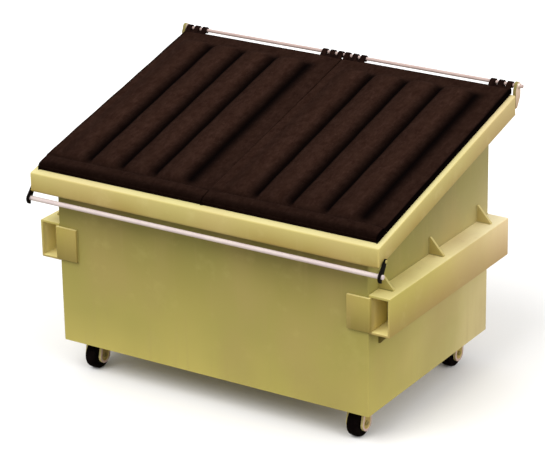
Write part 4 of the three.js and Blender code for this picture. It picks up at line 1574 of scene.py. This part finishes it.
lower_knuckles = knuckle_group("right_lid_left_knuckles", LID_LEFT + KNUCKLE_INSET)
upper_knuckles = knuckle_group("right_lid_right_knuckles", LID_RIGHT - KNUCKLE_INSET)
print("Knuckle faces:", len(lower_knuckles.data.polygons))

# %% [markdown]
# ## The second lid
# The left lid comes from the same mould as the right one, so it is a copy that is moved one lid's
# width to the left. The copy has its own mesh. A mirrored copy would be wrong, since it would put
# the low ridge on the other side.

# %% Second lid and hand over
SECOND_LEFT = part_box("left_lid")[0].x
lid_step = SECOND_LEFT - LID_LEFT
second_lid = copied(lid, "left_lid_shell", (lid_step, 0, 0))
shade_outer_edge(lid, LID_RIGHT)
shade_outer_edge(second_lid, SECOND_LEFT)
hand_over(lid, "right_lid", "lid_plastic", lid_finish, "right_lid")
hand_over(second_lid, "left_lid", "lid_plastic", lid_finish, "left_lid")
for group, end in ((lower_knuckles, "left"), (upper_knuckles, "right")):
    twin = copied(group, f"left_lid_{end}_knuckles", (lid_step, 0, 0))
    hand_over(group, "right_lid", "lid_plastic", knuckle_finish)
    hand_over(twin, "left_lid", "lid_plastic", knuckle_finish)
print("The second lid lies", round(-lid_step, 4), "m to the left")

# %% [markdown]
# ## Tyres
# Each caster has a bolted top plate, a fork that swivels under it, and a wheel with a plastic
# centre and a rubber tyre. A tyre is nearly flat where it rolls, slightly crowned, and round at its
# shoulders. Half of that section is written down, and the whole is spun finer than in the CAD
# model.

# %% Tyre
WHEEL_RADIUS = 0.076
TYRE_HALF = 0.031
TYRE_BORE = 0.050
TYRE_SHOULDER = 0.012
TYRE_STEPS = 72
CROWN = 0.0012
QUARTER = math.pi / 2
SHOULDER_LINES = 5


def left_quarter(along, radius, size):
    """A quarter of a circle round a centre, from its left to its top."""
    angles = [math.pi - QUARTER * i / SHOULDER_LINES for i in range(SHOULDER_LINES + 1)]
    return [(along + size * math.cos(angle), radius + size * math.sin(angle)) for angle in angles]


shoulder_along = TYRE_SHOULDER - TYRE_HALF
shoulder_radius = WHEEL_RADIUS - CROWN - TYRE_SHOULDER
left_shoulder = left_quarter(shoulder_along, shoulder_radius, TYRE_SHOULDER)
tyre_left = [(-TYRE_HALF, TYRE_BORE), *left_shoulder]
tyre_section = [*tyre_left, (0, WHEEL_RADIUS), *mirror_of(tyre_left)]
first_wheel = node_centre("front_right_caster_hub")
tyre = spun_ring("front_right_tyre", tyre_section, first_wheel, TYRE_STEPS)
print("Tyre faces:", len(tyre.data.polygons))

# %% [markdown]
# ## Hubs
# The plastic centre has a boss round the axle, a web that lies back on both sides, and a flange
# under the tyre with a small step. Without the web's recess a wheel would look like a solid disc.

# %% Hub
HUB_HALF = 0.028
HUB_BORE = 0.0069
HUB_BOSS = 0.020
HUB_RIM = TYRE_BORE - HAIR_GAP
BOSS_HALF = 0.033
BOSS_CUT = 0.002
WEB_RECESS = 0.012
WEB_FOOT = 0.005
FLANGE = 0.008
FLANGE_EDGE = 0.005
hub_left = [
    (-BOSS_HALF, HUB_BORE),
    (-BOSS_HALF, HUB_BOSS - BOSS_CUT),
    (BOSS_CUT - BOSS_HALF, HUB_BOSS),
    (WEB_RECESS - HUB_HALF, HUB_BOSS + WEB_FOOT),
    (WEB_RECESS - HUB_HALF, HUB_RIM - FLANGE),
    (-HUB_HALF, HUB_RIM - FLANGE_EDGE),
    (-HUB_HALF, HUB_RIM),
]
hub = spun_ring("front_right_hub", hub_left + mirror_of(hub_left), first_wheel)
print("Hub faces:", len(hub.data.polygons))

# %% [markdown]
# ## Four corners
# All four casters are bought alike. The wheel that was spun is moved to the other corners by the
# distance between the CAD hubs, and the other parts are eased copies of their own nodes. Swivelling
# parts ride on the swivel's body, rolling ones on the wheel's, and the top plate and the kingpin on
# the container.

# %% Wheels and forks at the four corners
FORK_EASE = 0.0018
AXLE_EASE = 0.0012
TOP_PLATE_EASE = 0.0009
KINGPIN_EASE = 0.001
CORNERS = ("front_right", "front_left", "rear_right", "rear_left")
for corner in CORNERS:
    shift = node_centre(corner + "_caster_hub") - first_wheel
    own_tyre = tyre if corner == CORNERS[0] else copied(tyre, corner + "_tyre", shift)
    own_hub = hub if corner == CORNERS[0] else copied(hub, corner + "_hub", shift)
    hand_over(own_tyre, corner + "_wheel", "tyre_rubber", tyre_finish, corner + "_caster_tyre")
    hand_over(own_hub, corner + "_wheel", "hub_plastic", hub_finish, corner + "_caster_hub")
    eased_node(corner + "_caster_fork", corner + "_swivel", "fork_paint", fork_finish, FORK_EASE)
    eased_node(corner + "_caster_axle", corner + "_swivel", "axle_zinc", painted_zinc, AXLE_EASE)
    eased_node(corner + "_caster_plate", "container", "caster_zinc", bright_zinc, TOP_PLATE_EASE, 2)
    eased_node(corner + "_caster_kingpin", "container", "kingpin_zinc", dark_zinc, KINGPIN_EASE, 2)
print("Casters:", len(CORNERS))

# %% [markdown]
# ## One weld bead
# Plates are joined by fillet welds, which show as a thin rippled bead along each seam. A bead is a
# curve whose thickness swells and shrinks every few millimetres, turned into a mesh. Modelling the
# ripples as separate discs would take far more faces.

# %% A bead between two points
WELD_STEP = 0.0045
WELD_RADIUS = 0.0032
WELD_WAIST = 0.86
WELD_LEAST = 3


def weld_bead(start, end):
    start, end = Vector(start), Vector(end)
    count = max(WELD_LEAST, round((end - start).length / WELD_STEP))
    curve = bpy.data.curves.new("bead", "CURVE")
    curve.dimensions = "3D"
    curve.bevel_depth = WELD_RADIUS
    curve.bevel_resolution = 1
    curve.use_fill_caps = True
    spline = curve.splines.new("POLY")
    spline.points.add(count)
    for i, point in enumerate(spline.points):
        point.co = (*start.lerp(end, i / count), 1)
        point.radius = 1.0 if i % 2 else WELD_WAIST
    piece = bpy.data.objects.new("bead", curve)
    bpy.context.scene.collection.objects.link(piece)
    activate(piece)
    bpy.ops.object.convert(target="MESH")
    return bpy.context.active_object


# %% [markdown]
# ## The seams
# Both sides have the same seams: along the pocket above and below, up and out along both faces of
# each upper gusset, and up the guide plate. They are worked out from the boxes of the right side's
# nodes, with a sign that puts them on either side, and each lies just off the plates that it joins.

# %% Beads along the seams
OFF_PLATE = 0.001
SEAM_START = 0.02
SEAM_STOP = 0.004
GUSSET_FOOT = 0.002
GUSSET_TIP = 0.006


def side_seams(sign):
    wall_x = sign * (HALF_WIDTH + OFF_PLATE)
    seams = []
    for z in (POCKET_ROOF + OFF_PLATE, POCKET_FLOOR - OFF_PLATE):
        seams.append(((wall_x, FRONT + SEAM_START, z), (wall_x, BACK - SEAM_STOP, z)))
    for spot in ("front", "middle", "rear"):
        low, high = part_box(f"right_{spot}_gusset")
        for y in (low.y - OFF_PLATE, high.y + OFF_PLATE):
            seams.append(((wall_x, y, low.z + GUSSET_FOOT), (wall_x, y, high.z - SEAM_STOP)))
            tip = (sign * (high.x - GUSSET_TIP), y, low.z + OFF_PLATE)
            seams.append(((wall_x, y, low.z + OFF_PLATE), tip))
    low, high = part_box("right_guide_plate")
    plate_x = sign * (low.x - OFF_PLATE)
    face_y = FRONT - OFF_PLATE
    seams.append(((plate_x, face_y, low.z + SEAM_STOP), (plate_x, face_y, high.z - SEAM_STOP)))
    return seams


beads = [weld_bead(start, end) for sign in (-1, 1) for start, end in side_seams(sign)]
seam_count = len(beads)
joined(beads)
weld_beads = smooth(named("weld_beads"), angle=60.0)
hand_over(weld_beads, "container", "body_paint", tub_enamel)
print("Seams:", seam_count, "bead faces:", len(weld_beads.data.polygons))

# %% [markdown]
# ## Floor
# The floor is a large plain sheet, white to the camera and greyer to other rays, so that it shows
# the container's soft shadow without lighting its walls too strongly from below. A faint cloud
# varies the grey, as on a painted studio floor.

# %% Floor
FLOOR_SIZE = 80
FLOOR_ROUGHNESS = 0.9


def ray_is(tree, kind):
    """1 for rays of one kind, such as those that come straight from the camera."""
    return add_node(tree, "ShaderNodeLightPath", {}, {}, f"Is {kind} Ray")


def floor_material():
    material, tree = new_finish("studio_floor", gloss=0.0, roughness=FLOOR_ROUGHNESS)
    cloud = noise(tree, place(tree), scale=0.4, detail=2.0, roughness=0.5)
    grey = mixed(tree, cloud * 0.1, "a8a49c", "b2aea6")
    return feed(material, {"Base Color": mixed(tree, ray_is(tree, "Camera"), grey, "fbfbfb")})


floor = added("studio_floor", bpy.ops.mesh.primitive_plane_add, size=FLOOR_SIZE)
floor.data.materials.append(floor_material())
print("Floor:", round(floor.dimensions.x), "m square")

# %% [markdown]
# ## Sky
# Studio light on a large object comes from big soft sources. A sky that is brighter overhead fills
# every side. The camera, mirrors and glass see it as plain white, since the background of the
# photograph is white. Small hard lamps would draw sharp shadows under the rim that the photograph
# hasn't got.

# %% Sky
SKY_LOW = 0.42
SKY_HIGH = 1.05


def add_sky():
    world = bpy.data.worlds.new("studio_sky")
    bpy.context.scene.world = world
    world.use_nodes = True
    tree = world.node_tree
    up = axis_of(tree, add_node(tree, "ShaderNodeTexCoord", {}, {}, "Generated"), "Z")
    plain = ray_is(tree, "Camera").larger(ray_is(tree, "Glossy"))
    plain = plain.larger(ray_is(tree, "Transmission"))
    soft = SKY_LOW + ranged(tree, up, 0.0, 1.0) * (SKY_HIGH - SKY_LOW)
    strength = plain + (1 - plain) * soft
    background = tree.nodes["Background"]
    background.inputs["Color"].default_value = (1, 1, 1, 1)
    tree.links.new(strength.socket, background.inputs["Strength"])
    return world


sky = add_sky()
print("Sky nodes:", len(sky.node_tree.nodes))

# %% [markdown]
# ## Suns
# A broad sun from the upper left gives the tops and the ribs their form, and a weaker one from the
# right lifts the side. The light is at a plain level, where a colour renders about as it is
# written, and the plain Standard view keeps it so.

# %% Two broad suns
KEY_TONE = (1.0, 0.99, 0.97)
SIDE_TONE = (1.0, 0.965, 0.95)


def add_sun(name, azimuth, height, strength, spread, tone):
    """A sun that is seen at an azimuth and a height angle, both in degrees."""
    lamp = bpy.data.lights.new(name, "SUN")
    lamp.energy = strength
    lamp.angle = math.radians(spread)
    lamp.color = tone
    sun = bpy.data.objects.new(name, lamp)
    towards = direction(math.radians(azimuth), math.radians(height))
    sun.rotation_euler = towards.to_track_quat("Z", "Y").to_euler()
    bpy.context.scene.collection.objects.link(sun)
    return sun


key = add_sun("key_sun", azimuth=-14, height=52, strength=1.6, spread=40, tone=KEY_TONE)
side_light = add_sun("side_sun", azimuth=82, height=26, strength=1.15, spread=40, tone=SIDE_TONE)
bpy.context.scene.view_settings.view_transform = "Standard"
print("Suns:", key.name, side_light.name)

# %% [markdown]
# ## Pieces made
# The number of dressed pieces is printed.

# %% Number of pieces
print("Pieces:", len(made))
